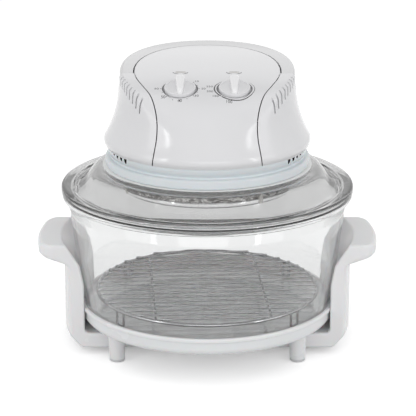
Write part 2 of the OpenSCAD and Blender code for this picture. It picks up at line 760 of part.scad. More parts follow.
// Plastic ring between lid and housing: flange, groove, vented band and inner web
module head_base_ring() {
    lap_r = band_r - ring_wall;
    round_r = 2;
    color("aliceblue") difference() {
        union() {
            rotate_extrude() {
                difference() {
                    union() {
                        translate([ledge_r, ring_z])
                            square([flange_r - ledge_r - round_r, flange_h]);
                        translate([ledge_r, ring_z + round_r])
                            square([flange_r - ledge_r, flange_h - 2 * round_r]);
                        for (z = [ring_z + round_r, flange_z - round_r])
                            translate([flange_r - round_r, z]) circle(r = round_r);
                    }
                    translate([0, web_z]) square([well_r, flange_h + 1]);
                }
                // Groove and band, with the lap that stands inside the housing
                translate([well_r, flange_z - 1]) square([band_r - groove_d - well_r, 4]);
                translate([lap_r, flange_z + 1.6]) square([ring_wall, edge_z - flange_z - 1.6 - rest_gap]);
                translate([well_r, flange_z - 1]) square([lap_r - well_r + eps, 6]);
                translate([well_r, flange_z - 1]) square([ring_wall, edge_z - flange_z + 1 - rest_gap]);
            }
            for (a = head_screw_at) rotate(a) translate([head_screw_r, 0, web_z])
                cylinder(r = 6, h = edge_z - 2 - web_z);
        }
        translate([0, 0, ring_z - 1]) ring(seal_r[1] + 0.2, seal_r[0] - 0.2, 2);
        for (side = [-1, 1], end = [0, 180], i = [0 : vent_count - 1])
            rotate(end + side * (90 - (vent_from + i * vent_pitch)) + (side < 0 ? 180 : 0))
                translate([well_r, -vent_w / 2, edge_z - vent_h]) cube([20, vent_w, vent_h + 1]);
        for (a = head_screw_at) rotate(a) translate([head_screw_r, 0, ring_z - 1]) {
            cylinder(d = bore_d, h = far);
            cylinder(r = screw_d * 1.1, h = 4.5);
        }
    }
}

// Hollow of the head, which leaves the recess walls and the screw bosses standing
module head_hollow() {
    difference() {
        head_solid(shell_wall, low = 6);
        handle_space(handle_gap + shell_wall);
        for (a = head_screw_at) rotate(a) translate([head_screw_r, 0, edge_z])
            cylinder(r = 5, h = 14);
        for (a = head_screw_at) rotate(a) translate([head_screw_r, -1.2, edge_z + 3])
            cube([12, 2.4, 11]);
    }
}

// What the centre panel takes out of the housing, down to the recess wall that it rests on
module panel_cut() {
    difference() {
        union() {
            panel_zone(seam_gap / 2);
            intersection() {
                translate([0, handle_arc_y, edge_z]) cylinder(r = handle_in_r + 0.2, h = far);
                translate([-far / 2, handle_end_y, edge_z]) cube([far, far, far]);
            }
        }
        intersection() {
            handle_space(handle_gap + shell_wall);
            head_solid(shell_wall + rest_gap);
        }
    }
}

module head_housing() {
    color("whitesmoke") difference() {
        head_solid(0);
        head_hollow();
        panel_cut();
        handle_space(handle_gap);
        for (side = [0, 1]) mirror([side, 0, 0]) louvres();
        for (a = head_screw_at) rotate(a) translate([head_screw_r, 0, edge_z - 1])
            cylinder(d = screw_d, h = 12);
        for (side = [-1, 1]) translate([side * (pin_from - 2), pivot_y, handle_z])
            rotate([0, side * 90, 0]) cylinder(d = pivot_pin_d, h = shell_wall + 4);
        translate([0, 90, gland_z]) rotate([-90, 0, 0]) cylinder(r = gland_r, h = 40);
        translate([0, switch_y, top_z(0) - 40]) cylinder(d = switch_pin_d + 0.6, h = 60);
        translate([-far / 2, -far / 2, edge_z - far]) cube([far, far, far]);
    }
}

module louvres() {
    for (i = [0 : louvre_count - 1]) rotate(-90 - louvre_from - i * louvre_pitch)
        translate([louvre_r, -louvre_w / 2, edge_z + louvre_low_h + 4.3 * i - 0.19 * i * i])
            cube([30, louvre_w, far]);
}

module centre_panel() {
    cup_r = dial_recess_r + 2;
    color("white") difference() {
        union() {
            intersection() {
                difference() {
                    head_solid(0);
                    head_solid(shell_wall, low = 6);
                }
                panel_zone(-seam_gap / 2);
            }
            intersection() {
                for (side = [-1, 1]) at_dial(side) translate([0, 0, -dial_recess_d - 2])
                    cylinder(r = cup_r, h = 12);
                head_solid(shell_wall - 0.5, low = 6);
            }
        }
        translate([-far / 2, -far / 2, edge_z - far]) cube([far, far, far]);
        for (side = [-1, 1]) at_dial(side) {
            translate([0, 0, -dial_recess_d]) cylinder(r = dial_recess_r, h = 20);
            translate([0, 0, -20]) cylinder(d = dial_shaft_d + 1, h = 30);
        }
        for (side = [-1, 1]) lens_shape(side, 0, 20);
    }
}

// Oval window above a dial, grown by g, from below the panel up
module lens_shape(side, g, h) {
    half = (lens[0] - lens[1]) / 2;
    translate([side * dial_x, lens_y, top_z(lens_y)]) rotate([atan(top_slope(lens_y)), 0, 0])
        translate([0, 0, -shell_wall - 1]) {
            translate([-half, -lens[1] / 2 - g, 0]) cube([2 * half, lens[1] + 2 * g, h]);
            for (x = [-half, half]) translate([x, 0, 0]) cylinder(d = lens[1] + 2 * g, h = h);
        }
}

module head_screws() {
    seat = ring_z + 3.5;
    color("silver") for (a = head_screw_at) rotate(a) translate([head_screw_r, 0, seat])
        screw(edge_z + 8 - seat);
}

module carry_handle() {
    color("gainsboro") difference() {
        intersection() {
            head_solid(0);
            handle_space(0);
            translate([0, 0, edge_z]) cylinder(r = handle_out_r, h = far);
        }
        // Hollow underside behind the pivots, with a rib over the switch
        difference() {
            translate([-far / 2, 14, band_low_z - 3]) rotate([band_tilt, 0, 0])
                cube([far, far, handle_band_h - 3]);
            arc_cone(-shell_wall);
            translate([0, 0, edge_z]) ring(far, handle_out_r - shell_wall, far);
            translate([-switch_pin_d, 0, edge_z]) cube([2 * switch_pin_d, far, far]);
        }
        for (side = [-1, 1]) translate([side * pin_from, pivot_y, handle_z])
            rotate([0, side * 90, 0]) cylinder(r = pivot_pin_d / 2 + run_gap, h = pin_length + 1);
    }
}

module handle_pins() {
    color("silver") for (side = [-1, 1])
        translate([side * pin_from, pivot_y, handle_z]) rotate([0, side * 90, 0]) {
            cylinder(d = pivot_pin_d, h = pin_length);
            translate([0, 0, -2]) cylinder(d = pivot_pin_d + 3, h = 2);
        }
}

module knob() {
    gap = 0.6;
    low = -dial_recess_d + gap;
    top = dial_rim_h;
    round_r = 1.4;
    color("whitesmoke") difference() {
        union() {
            rotate_extrude() {
                translate([0, low]) square([dial_r - round_r, top - low]);
                translate([0, low]) square([dial_r, top - low - round_r]);
                translate([dial_r - round_r, top - round_r]) circle(r = round_r);
            }
            // Grip bar, drawn in and lower at the front
            corner_r = 2;
            translate([0, 0, top - eps]) hull() {
                for (side = [-1, 1])
                    translate([side * (dial_grip_w / 2 - corner_r), dial_r - corner_r - 2, 0])
                        cylinder(r = corner_r, h = dial_grip_h, $fn = 24);
                translate([0, -dial_r + dial_nose_w / 2 + 1, 0])
                    cylinder(d = dial_nose_w, h = dial_grip_h - 3, $fn = 32);
            }
        }
        translate([0, 0, low - 1]) cylinder(d = dial_shaft_d, h = 8);
    }
}

module timer_knob() {
    at_dial(-1) knob();
}

module thermostat_knob() {
    at_dial(1) knob();
}

module dial_shaft() {
    body_gap = 8;
    color("silver") translate([0, 0, -dial_recess_d - body_gap])
        cylinder(d = dial_shaft_d, h = body_gap + 0.6 + 7);
}

module timer_shaft() {
    at_dial(-1) dial_shaft();
}

module thermostat_shaft() {
    at_dial(1) dial_shaft();
}

// Threaded neck that passes under the panel and holds a control to it
module control_neck() {
    low = -dial_recess_d - 9;
    difference() {
        translate([0, 0, low]) cylinder(r = 6, h = 7);
        translate([0, 0, low - 1]) cylinder(r = dial_shaft_d / 2 + run_gap, h = 20);
    }
}

module timer_mechanism() {
    size = [34, 34, 24];
    low = -dial_recess_d - 9;
    color("burlywood") at_dial(-1) difference() {
        union() {
            translate([-size[0] / 2, -size[1] / 2, low - size[2]]) cube(size);
            control_neck();
        }
        translate([0, 0, low - 2]) cylinder(r = dial_shaft_d / 2 + run_gap, h = 20);
    }
}

module thermostat_body() {
    low = -dial_recess_d - 9;
    color("dimgray") at_dial(1) difference() {
        union() {
            translate([0, 0, low - 18]) cylinder(r = 16, h = 18);
            translate([-20, -5, low - 1.5]) cube([40, 10, 1.5]);
            control_neck();
        }
        translate([0, 0, low - 2]) cylinder(r = dial_shaft_d / 2 + run_gap, h = 20);
    }
}

// Lens flush with the panel, on a flange that stays behind it
module lens_piece(side) {
    lens_shape(side, -0.1, shell_wall + 1);
    lens_shape(side, 0.8, 0.9);
}

module power_lens() {
    color("orange") lens_piece(-1);
}

module heat_lens() {
    color("tomato") lens_piece(1);
}

module pilot_lamps() {
    color("orangered") for (side = [-1, 1])
        translate([side * dial_x, lens_y, top_z(lens_y) - shell_wall - 1.2])
            rotate([atan(top_slope(lens_y)) + 180, 0, 0]) {
                cylinder(d = 5, h = 12);
                translate([0, 0, 8]) cylinder(d = 6.5, h = 4);
            }
}

module chassis_plate() {
    color("silver") difference() {
        translate([0, 0, chassis_z]) cylinder(r = well_r - rest_gap, h = 1.2 * sheet_t);
        translate([0, 0, chassis_z - 1]) cylinder(r = shaft_r + 5, h = 5);
        for (a = head_screw_at) rotate(a) translate([head_screw_r, 0, chassis_z - 1])
            cylinder(r = 6 + rest_gap, h = 5);
        for (a = spacer_at) rotate(a) translate([spacer_r, 0, chassis_z - 1]) cylinder(d = bore_d, h = 5);
        for (i = [0 : 11]) rotate(i * 30 + 15) translate([54, -2, chassis_z - 1]) cube([12, 4, 5]);
    }
}

module heat_shield() {
    color("tan") translate([0, 0, drum_top_z]) ring(shield_r, shaft_r + 6, chassis_z - drum_top_z - 1);
}

module drum_spacers() {
    color("silver") for (a = spacer_at) rotate(a) translate([spacer_r, 0, drum_top_z])
        ring(4.5, bore_d / 2, chassis_z - drum_top_z);
}

module drum_screws() {
    color("silver") for (a = spacer_at) rotate(a) translate([spacer_r, 0, drum_top_z - sheet_t]) {
        screw(chassis_top_z + 6 - drum_top_z + sheet_t);
        translate([0, 0, chassis_top_z - drum_top_z + sheet_t]) cylinder(d = 7.6, h = 3, $fn = 6);
    }
}

module heater_drum() {
    color("lightgray") difference() {
        translate([0, 0, drum_low_z]) cylinder(r = drum_r, h = drum_h);
        translate([0, 0, drum_low_z - 1]) cylinder(r = drum_r - sheet_t, h = drum_h + 1 - sheet_t);
        translate([0, 0, drum_low_z]) cylinder(r = shaft_r + 4, h = drum_h + 1);
        for (a = spacer_at) rotate(a) translate([spacer_r, 0, drum_low_z]) cylinder(d = bore_d, h = far);
    }
}

post_at = [40, 160, 280];

// Light ceramic posts that hold the guard ring to the drum
module drum_posts() {
    color("white") for (a = post_at) rotate(a - 90)
        translate([drum_r, -2, guard_z + 1]) cube([2, 4, drum_top_z - guard_z - 1]);
}

module halogen_lamp() {
    open = 24;
    color("ivory", 0.6) translate([0, 0, lamp_z()]) rotate(90 + open / 2)
        rotate_extrude(angle = 360 - open) translate([lamp_r, 0]) circle(d = lamp_d);
}

function lamp_z() = drum_top_z - sheet_t - 2.5 - lamp_d / 2;

module lamp_holders() {
    color("ivory") {
        // Ceramic ends of the lamp, fixed to the drum's top plate
        for (side = [-1, 1]) rotate(90 + side * 9) translate([lamp_r, 0, 0]) {
            translate([-6, -3, lamp_z() - 5.5]) cube([12, 5, drum_top_z - sheet_t - lamp_z() + 5.5]);
        }
        // Spring clips that hang from the plate round the tube
        for (a = [0, 180, 270]) rotate(a) translate([lamp_r, -3, lamp_z() + lamp_d / 2])
            cube([2, 6, drum_top_z - sheet_t - lamp_z() - lamp_d / 2]);
    }
}

module guard_ring() {
    out = drum_r + 0.5;
    color("silver") translate([0, 0, guard_z]) difference() {
        rotate_extrude() {
            translate([out - 5, 0]) square([3.5, guard_h]);
            translate([out - 2.5, 2.5]) circle(r = 2.5);
            translate([out - 2.5, guard_h - 2.5]) square([2, 2.5]);
        }
        for (a = post_at) rotate(a - 90) translate([drum_r - eps, -2, 1]) cube([2, 4, guard_h]);
    }
}

module guard_grille() {
    wire = 1;
    spoke = 1.2;
    z = guard_z + 2.6;
    color("silver") {
        for (r = [16 : 14 : 72]) translate([0, 0, z]) rotate_extrude() translate([r, 0]) circle(r = wire);
        for (a = [0 : 60 : 300]) rotate(a) translate([14, 0, z - wire - spoke + 0.5]) rotate([0, 90, 0])
            cylinder(r = spoke, h = drum_r - 4.5 - 14);
    }
}

module motor_posts() {
    color("silver") for (side = [-1, 1]) translate([side * post_x, 0, chassis_top_z])
        cylinder(r = 4, h = bridge_z - chassis_top_z);
}

module lower_bridge() {
    color("silver") difference() {
        translate([-post_x - 7, -9, bridge_z]) cube([2 * post_x + 14, 18, 2 * sheet_t]);
        translate([0, 0, bridge_z - 1]) cylinder(r = shaft_r + 3, h = 9);
    }
}

module upper_bridge() {
    half = stack_size[0] / 2 - 4;
    z = stack_z + stack_h;
    color("silver") difference() {
        union() {
            translate([-half - 3, -7, top_bridge_z]) cube([2 * half + 6, 14, 2 * sheet_t]);
            for (side = [-1, 1]) translate([side * half, 0, z]) cylinder(r = 3, h = top_bridge_z - z);
        }
        translate([0, 0, top_bridge_z - 1]) cylinder(r = shaft_r + 3, h = 9);
    }
}

module bush() {
    ring(shaft_r + 3, shaft_r + run_gap, 2 * sheet_t + 2);
    ring(shaft_r + 4.5, shaft_r + run_gap, 1.5 - eps);
}

module motor_bushes() {
    color("peru") {
        translate([0, 0, bridge_z + 2 * sheet_t + 1.5]) mirror([0, 0, 1]) bush();
        translate([0, 0, top_bridge_z - 1.5]) bush();
    }
}

// Laminated frame of the motor, with a window for the coil behind the rotor
module motor_stack() {
    w = stack_size[0];
    d = stack_size[1];
    color("slategray") {
        translate([0, 0, stack_z]) difference() {
            translate([-w / 2, -20, 0]) cube([w, d, stack_h]);
            translate([0, 0, -1]) cylinder(r = rotor_r + 0.5, h = stack_h + 2);
            translate([-w / 2 + 9, 17.5, -1]) cube([w - 18, 5, stack_h + 2]);
        }
        for (side = [-1, 1]) translate([side * (w / 2 - 4), 0, bridge_z + 2 * sheet_t])
            cylinder(r = 3, h = stack_z - bridge_z - 2 * sheet_t);
    }
}

module motor_coil() {
    y = stack_size[1] - 20 - 3.75;
    color("darkorange") translate([0, y, stack_z + stack_h / 2]) rotate([0, 90, 0]) difference() {
        translate([0, 0, -14]) cylinder(r = 14, h = 28);
        translate([-stack_h / 2, -3.75, -15]) cube([stack_h, 7.5, 30]);
        translate([-20, -40 - 6.1, -15]) cube([40, 40, 30]);
    }
}

module motor_shaft() {
    color("silver") translate([0, 0, shaft_low_z]) cylinder(r = shaft_r, h = shaft_top_z - shaft_low_z);
}

module motor_rotor() {
    color("gray") translate([0, 0, stack_z]) ring(rotor_r, shaft_r, stack_h);
}

module blades(count, r_in, r_out, h, lean, thick = 1) {
    for (i = [0 : count - 1]) rotate(i * 360 / count) translate([r_in, 0, 0]) rotate(lean)
        translate([0, -thick / 2, 0]) cube([r_out - r_in, thick, h]);
}

module cooling_fan() {
    color("black") translate([0, 0, cool_z]) difference() {
        union() {
            cylinder(r = 9, h = cool_h);
            cylinder(r = cool_r - 4, h = 1.5);
            blades(cool_blades, 7, cool_r - 2, cool_h, 14, 1.4);
        }
        translate([0, 0, -1]) cylinder(r = shaft_r, h = cool_h + 2);
    }
}

module convection_fan() {
    h = 8;
    color("silver") translate([0, 0, fan_z]) difference() {
        union() {
            cylinder(r = 7, h = h);
            translate([0, 0, h - 1.2]) cylinder(r = fan_r - 6, h = 1.2);
            blades(fan_blades, 6, fan_r - 1, h, 18, 1.2);
        }
        translate([0, 0, -1]) cylinder(r = shaft_r, h = h + 2);
    }
}

module fan_nut() {
    color("silver") translate([0, 0, fan_z - 3.4]) difference() {
        cylinder(d = 11, h = 3.4, $fn = 6);
        translate([0, 0, -1]) cylinder(r = shaft_r, h = 6);
    }
}

// Place of the handle's underside above the switch
function band_z(y) = band_low_z + (y - pivot_y) * tan(band_tilt);

module safety_switch() {
    size = [22, 10, 15];
    top = band_z(switch_y) - handle_gap - shell_wall - 0.6;
    color("black") difference() {
        union() {
            translate([-size[0] / 2, switch_y - size[1] / 2, top - size[2]]) cube(size);
            for (x = [-9, 9]) translate([x, switch_y, top - 1]) cylinder(r = 2.5, h = 1.2);
        }
        translate([0, switch_y, top - 9]) cylinder(r = switch_pin_d / 2 + run_gap, h = 20);
    }
}

module switch_plunger() {
    top = band_z(switch_y - switch_pin_d / 2) - rest_gap;
    low = band_z(switch_y) - handle_gap - shell_wall - 6;
    color("red") translate([0, switch_y, low]) cylinder(d = switch_pin_d, h = top - low);
}

module terminal_block() {
    color("ivory") translate([-75, 8, chassis_top_z]) difference() {
        cube([16, 34, 12]);
        for (y = [4 : 8.6 : 31]) translate([-1, y, 4]) cube([18, 5, 5]);
    }
}

module cord_gland() {
    out = wall_r(gland_z, 0);
    color("whitesmoke") translate([0, out - 10, gland_z]) rotate([-90, 0, 0]) difference() {
        union() {
            cylinder(r = gland_r, h = 14);
            cylinder(r = gland_r + 2.5, h = 2);
            translate([0, 0, 12]) cylinder(r1 = gland_r - 1, r2 = gland_r - 2.5, h = 12);
        }
        translate([0, 0, -1]) cylinder(r = gland_bore_r, h = 30);
    }
}

base_dish();
rest_pads();
feet();
foot_pads();
foot_screws();
left_arm();
right_arm();
arm_screws();
glass_bowl();
rack_ring();
rack_bars();
glass_lid();
lid_seal();
drum_seal();
head_base_ring();
head_housing();
centre_panel();
head_screws();
carry_handle();
handle_pins();
timer_knob();
timer_shaft();
timer_mechanism();
thermostat_knob();
thermostat_shaft();
thermostat_body();
power_lens();
heat_lens();
pilot_lamps();
chassis_plate();
heat_shield();
drum_spacers();
drum_screws();
heater_drum();
drum_posts();
halogen_lamp();
lamp_holders();
guard_ring();
guard_grille();
motor_posts();
lower_bridge();
upper_bridge();
motor_bushes();
motor_stack();
motor_coil();
motor_shaft();
motor_rotor();
cooling_fan();
convection_fan();
fan_nut();
safety_switch();
switch_plunger();
terminal_block();
cord_gland();
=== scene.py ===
# Halogen oven on a white table: a glass bowl in a footed base, a lift-off glass lid, and the white
# head with its dials, cooling slots and fold-down handle. Sizes below are in millimetres, and every
# mesh is brought to metres when it is made.
import json
import math

import bmesh
import bpy
import numpy as np
from mathutils import Matrix, Vector
from mathutils.bvhtree import BVHTree
from mathutils.interpolate import poly_3d_calc


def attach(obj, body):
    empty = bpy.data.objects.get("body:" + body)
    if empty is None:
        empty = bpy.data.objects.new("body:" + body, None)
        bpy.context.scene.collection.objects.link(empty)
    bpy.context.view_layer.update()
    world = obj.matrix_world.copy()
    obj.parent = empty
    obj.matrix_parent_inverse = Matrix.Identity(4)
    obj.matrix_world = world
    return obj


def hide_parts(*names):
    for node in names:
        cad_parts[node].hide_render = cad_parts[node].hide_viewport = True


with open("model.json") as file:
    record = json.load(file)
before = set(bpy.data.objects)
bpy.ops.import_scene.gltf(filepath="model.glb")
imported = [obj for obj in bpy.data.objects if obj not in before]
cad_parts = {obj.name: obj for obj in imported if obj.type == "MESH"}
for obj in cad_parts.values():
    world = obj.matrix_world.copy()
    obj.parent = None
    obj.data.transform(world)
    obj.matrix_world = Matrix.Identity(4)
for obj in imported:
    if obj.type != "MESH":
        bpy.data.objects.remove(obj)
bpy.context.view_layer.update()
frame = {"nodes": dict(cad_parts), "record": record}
MM = 0.001
TURN = 2 * math.pi


# Camera
# A long lens looks down at the oven from the front, aimed at the bowl's upper half.
def in_scene(name, data):
    """A new object in the scene."""
    thing = bpy.data.objects.new(name, data)
    bpy.context.scene.collection.objects.link(thing)
    return thing


def mesh_of(name, verts, edges=(), faces=()):
    """A mesh from its points, in metres."""
    mesh = bpy.data.meshes.new(name)
    mesh.from_pydata(verts, edges, faces)
    return mesh


look_down, eye_gap, aim_x, aim_z = math.radians(17.5), 1.9, 0.0008, 0.157
lens = bpy.data.cameras.new("camera")
lens.lens, lens.sensor_width = 144.26, 36
eye = in_scene("camera", lens)
eye.location = (aim_x, -eye_gap * math.cos(look_down), aim_z + eye_gap * math.sin(look_down))
eye.rotation_euler = (math.pi / 2 - look_down, 0, 0)
bpy.context.scene.camera = eye
bpy.context.scene.view_settings.view_transform = "Standard"


# Table and light
# A white table runs back into a white room. Softboxes stand above and beside the oven, and the
# floor keeps the soft shadow of the feet and the dish.
def join_in(tree, kind, inputs=None, **settings):
    """A node, with values or links for its sockets; a node as a value stands for its first result."""
    node = tree.nodes.new(kind)
    for key, value in settings.items():
        setattr(node, key, value)
    for key, value in (inputs or {}).items():
        if isinstance(value, bpy.types.Node):
            value = value.outputs[0]
        if isinstance(value, bpy.types.NodeSocket):
            tree.links.new(value, node.inputs[key])
        else:
            node.inputs[key].default_value = value
    return node


def maths(tree, how, *terms):
    """Result of a sum on values or links."""
    return join_in(tree, "ShaderNodeMath", dict(enumerate(terms)), operation=how).outputs[0]


def seen_rays(tree):
    """1 for what the eye sees straight, in a reflection or through glass."""
    path = join_in(tree, "ShaderNodeLightPath").outputs
    both = maths(tree, "MAXIMUM", path["Is Camera Ray"], path["Is Glossy Ray"])
    return maths(tree, "MAXIMUM", both, path["Is Transmission Ray"])


def dimmed(tree, full):
    """The backdrop's strength, which is a quarter lower behind glass."""
    through = join_in(tree, "ShaderNodeLightPath").outputs["Is Transmission Ray"]
    return maths(tree, "MULTIPLY_ADD", through, -0.25 * full, full)


white, room_light, room_seen = (1, 1, 1, 1), 0.62, 1.0
room = bpy.data.worlds.new("white_room")
room.use_nodes = True
tree = room.node_tree
tree.nodes.clear()
glow = join_in(tree, "ShaderNodeBackground", {"Color": white, "Strength": room_light})
wall = join_in(tree, "ShaderNodeBackground", {"Color": white, "Strength": dimmed(tree, room_seen)})
mix = join_in(tree, "ShaderNodeMixShader", {0: seen_rays(tree), 1: glow, 2: wall})
join_in(tree, "ShaderNodeOutputWorld", {"Surface": mix})
bpy.context.scene.world = room

table_tone, table_lift, table_glow, glow_share, table_half = 0.6, 0.8, 1.7, 0.14, 9
table_mat = bpy.data.materials.new("white_table")
table_mat.use_nodes = True
tree = table_mat.node_tree
tree.nodes.clear()
seen = seen_rays(tree)
pale = maths(tree, "MULTIPLY_ADD", seen, dimmed(tree, table_lift), table_tone)
matt = join_in(tree, "ShaderNodeBsdfDiffuse", {"Color": pale})
glow = join_in(tree, "ShaderNodeEmission", {"Color": white, "Strength": dimmed(tree, table_glow)})
share = maths(tree, "MULTIPLY", seen, glow_share)
mix = join_in(tree, "ShaderNodeMixShader", {0: share, 1: matt, 2: glow})
join_in(tree, "ShaderNodeOutputMaterial", {"Surface": mix})
corners = [(x * table_half, y * table_half, 0) for x, y in ((-1, -1), (1, -1), (1, 1), (-1, 1))]
table_mesh = mesh_of("table", corners, faces=[(0, 1, 2, 3)])
table_mesh.materials.append(table_mat)
in_scene("table", table_mesh)

oven_middle = Vector((0, 0, 0.17))
for name, place, size, power in (
    ("softbox_above", (-0.25, -0.5, 1.9), (1.5, 1.2), 1.0),
    ("softbox_front", (0.15, -2.3, 0.75), (2.0, 1.0), 9.5),
    ("softbox_left", (-1.7, -1.0, 0.6), (0.9, 1.3), 3.8),
    ("softbox_right", (1.7, -0.8, 0.6), (0.9, 1.3), 3.3),
    ("strip_left", (-1.25, -1.15, 0.5), (0.16, 1.1), 2.4),
    ("strip_right", (1.25, -1.05, 0.5), (0.16, 1.1), 2.0),
    ("softbox_behind", (0.2, 1.6, 1.3), (1.4, 0.7), 1.4),
):
    light = bpy.data.lights.new(name, "AREA")
    light.shape, light.size, light.size_y, light.energy = "RECTANGLE", *size, power
    lamp = in_scene(name, light)
    lamp.location = place
    lamp.rotation_euler = (oven_middle - Vector(place)).to_track_quat("-Z", "Y").to_euler()


# Base dish
# A shallow dish injection moulded in white plastic, with a rolled bead round its rim and bosses
# in its floor for the screws of the feet and arms.
def surface_group(name, sizes, pattern, mottle):
    """Relief, uneven gloss and faint shade from one pattern of the material's own surface."""
    tree = bpy.data.node_groups.new(name, "ShaderNodeTree")
    shared = [("Gloss", "Float"), ("Spread", "Float"), ("Color", "Color")]
    results = [("Height", "Float"), ("Roughness", "Float"), ("Color", "Color")]
    for kind, sockets in (("INPUT", sizes + shared), ("OUTPUT", results)):
        for label, shape in sockets:
            tree.interface.new_socket(label, in_out=kind, socket_type="NodeSocket" + shape)
    come, go = join_in(tree, "NodeGroupInput").outputs, join_in(tree, "NodeGroupOutput")
    relief, patches = pattern(tree, come, join_in(tree, "ShaderNodeTexCoord").outputs["Object"])
    centred = maths(tree, "SUBTRACT", patches, 0.5)
    rough = maths(tree, "MULTIPLY_ADD", centred, come["Spread"], come["Gloss"])
    shade = maths(tree, "MULTIPLY_ADD", centred, mottle, 1.0)
    tone = join_in(tree, "ShaderNodeMix", {6: come["Color"], 7: shade, 0: 1.0},
                   data_type="RGBA", blend_type="MULTIPLY")
    for label, socket in (("Height", relief), ("Roughness", rough), ("Color", tone.outputs[2])):
        tree.links.new(socket, go.inputs[label])
    return tree


def moulded_pattern(tree, come, place):
    """Faint ripple of a plastic moulding, and broad patches that are duller from handling."""
    ripple = {"Vector": place, "Scale": come["Size"], "Detail": 3.0}
    patches = {"Vector": place, "Scale": 14.0, "Detail": 4.0}
    return [join_in(tree, "ShaderNodeTexNoise", noise).outputs[0] for noise in (ripple, patches)]


MOULDED = surface_group("moulded_surface", [("Size", "Float")], moulded_pattern, 0.05)


def surfaced(name, group, bump, depth, **values):
    """Material whose colour, gloss and relief come from a shared surface group."""
    mat = bpy.data.materials.new(name)
    mat.use_nodes = True
    tree = mat.node_tree
    shader = tree.nodes["Principled BSDF"]
    look = join_in(tree, "ShaderNodeGroup", node_tree=group)
    for label, value in values.items():
        look.inputs[label].default_value = value
    relief = {"Height": look.outputs["Height"], "Strength": bump, "Distance": depth}
    tree.links.new(look.outputs["Color"], shader.inputs["Base Color"])
    tree.links.new(look.outputs["Roughness"], shader.inputs["Roughness"])
    tree.links.new(join_in(tree, "ShaderNodeBump", relief).outputs[0], shader.inputs["Normal"])
    return mat, shader


def plastic(name, color, gloss=0.22, spread=0.1, size=900.0, bump=0.04, **sockets):
    """Moulded plastic in one colour, with plain values for the shader's own sockets."""
    mat, shader = surfaced(name, MOULDED, bump, 0.0002, Size=size, Gloss=gloss, Spread=spread, Color=(*color, 1))
    for label, value in sockets.items():
        shader.inputs[label.replace("_", " ")].default_value = value
    return mat


def rounded(points, closed=False, steps=7):
    """Outline through (radius, height, corner radius) points, with each corner made an arc."""
    line = []
    for i, point in enumerate(points):
        here = np.array(point[:2], float)
        if len(point) < 3 or (not closed and i in (0, len(points) - 1)):
            line.append(tuple(here))
            continue
        before = np.array(points[i - 1][:2], float) - here
        after = np.array(points[(i + 1) % len(points)][:2], float) - here
        near, far = np.linalg.norm(before), np.linalg.norm(after)
        u, v = before / near, after / far
        half = math.acos(max(-1, min(1, float(u @ v)))) / 2
        reach = min(point[2] / math.tan(half), 0.499 * near, 0.499 * far)
        radius = reach * math.tan(half)
        centre = here + (u + v) / np.linalg.norm(u + v) * radius / math.sin(half)
        a, b = here + u * reach - centre, here + v * reach - centre
        start, turn = math.atan2(a[1], a[0]), math.atan2(a[0] * b[1] - a[1] * b[0], float(a @ b))
        for k in range(steps + 1):
            angle = start + turn * k / steps
            line.append(tuple(centre + radius * np.array((math.cos(angle), math.sin(angle)))))
    return line


def geometry_tree(name, sockets):
    """An empty geometry tree with named inputs, and its two ends."""
    tree = bpy.data.node_groups.new(name, "GeometryNodeTree")
    for label, kind in sockets:
        tree.interface.new_socket(label, in_out="INPUT", socket_type="NodeSocket" + kind)
    tree.interface.new_socket("Geometry", in_out="OUTPUT", socket_type="NodeSocketGeometry")
    return tree, join_in(tree, "NodeGroupInput").outputs, join_in(tree, "NodeGroupOutput")


AXIS_R = 1


def turning_tree():
    """Turns an outline once round the upright axis."""
    tree, come, go = geometry_tree("turned_on_axis", (("Outline", "Object"), ("Steps", "Int")))
    shape = join_in(tree, "GeometryNodeObjectInfo", {"Object": come["Outline"]})
    line = join_in(tree, "GeometryNodeMeshToCurve", {"Mesh": shape.outputs["Geometry"]})
    axis = join_in(tree, "GeometryNodeCurvePrimitiveCircle", {"Resolution": come["Steps"], "Radius": AXIS_R * MM})
    sweep = join_in(tree, "GeometryNodeCurveToMesh", {"Curve": axis, "Profile Curve": line})
    weld = join_in(tree, "GeometryNodeMergeByDistance", {"Geometry": sweep, "Distance": 2e-6})
    tree.links.new(weld.outputs[0], go.inputs[0])
    return tree


def settled(thing):
    """Plain mesh of an object with its modifiers, which takes the object away."""
    ready = thing.evaluated_get(bpy.context.evaluated_depsgraph_get())
    mesh = bpy.data.meshes.new_from_object(ready)
    bpy.data.objects.remove(thing)
    return mesh


def result_of(tree, **inputs):
    """Plain mesh that a geometry tree makes from named inputs."""
    holder = in_scene("holder", bpy.data.meshes.new("holder"))
    made = holder.modifiers.new("made", "NODES")
    made.node_group = tree
    for socket in tree.interface.items_tree:
        if socket.in_out == "INPUT" and socket.name in inputs:
            made[socket.identifier] = inputs[socket.name]
    return settled(holder)


def outward(mesh):
    """Turns every face outwards."""
    work = bmesh.new()
    work.from_mesh(mesh)
    bmesh.ops.recalc_face_normals(work, faces=work.faces)
    work.to_mesh(mesh)
    work.free()
    return mesh


TURNING = turning_tree()


def turned(points, closed=False, steps=160, arc=7):
    """Body of revolution from a rounded outline."""
    line = rounded(points, closed, arc)
    count = len(line)
    edges = [(i, (i + 1) % count) for i in range(count if closed else count - 1)]
    outline = mesh_of("outline", [((r - AXIS_R) * MM, -z * MM, 0) for r, z in line], edges)
    shape = in_scene("outline", outline)
    mesh = result_of(TURNING, Outline=shape, Steps=steps)
    bpy.data.objects.remove(shape)
    return outward(mesh)


def shaded(mesh, crease):
    """Smooth shading, with edges sharper than the crease angle kept sharp."""
    mesh.polygons.foreach_set("use_smooth", [True] * len(mesh.polygons))
    mesh.set_sharp_from_angle(angle=math.radians(crease))


def lay(name, mesh, body, material, slot, *stands_for, crease=32):
    """Puts a finished mesh in the scene as a piece of the object; crease 0 leaves its shading."""
    piece = in_scene(name, mesh)
    mesh.materials.clear()
    mesh.materials.append(material)
    if crease:
        shaded(mesh, crease)
    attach(piece, body)
    if stands_for:
        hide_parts(*stands_for)


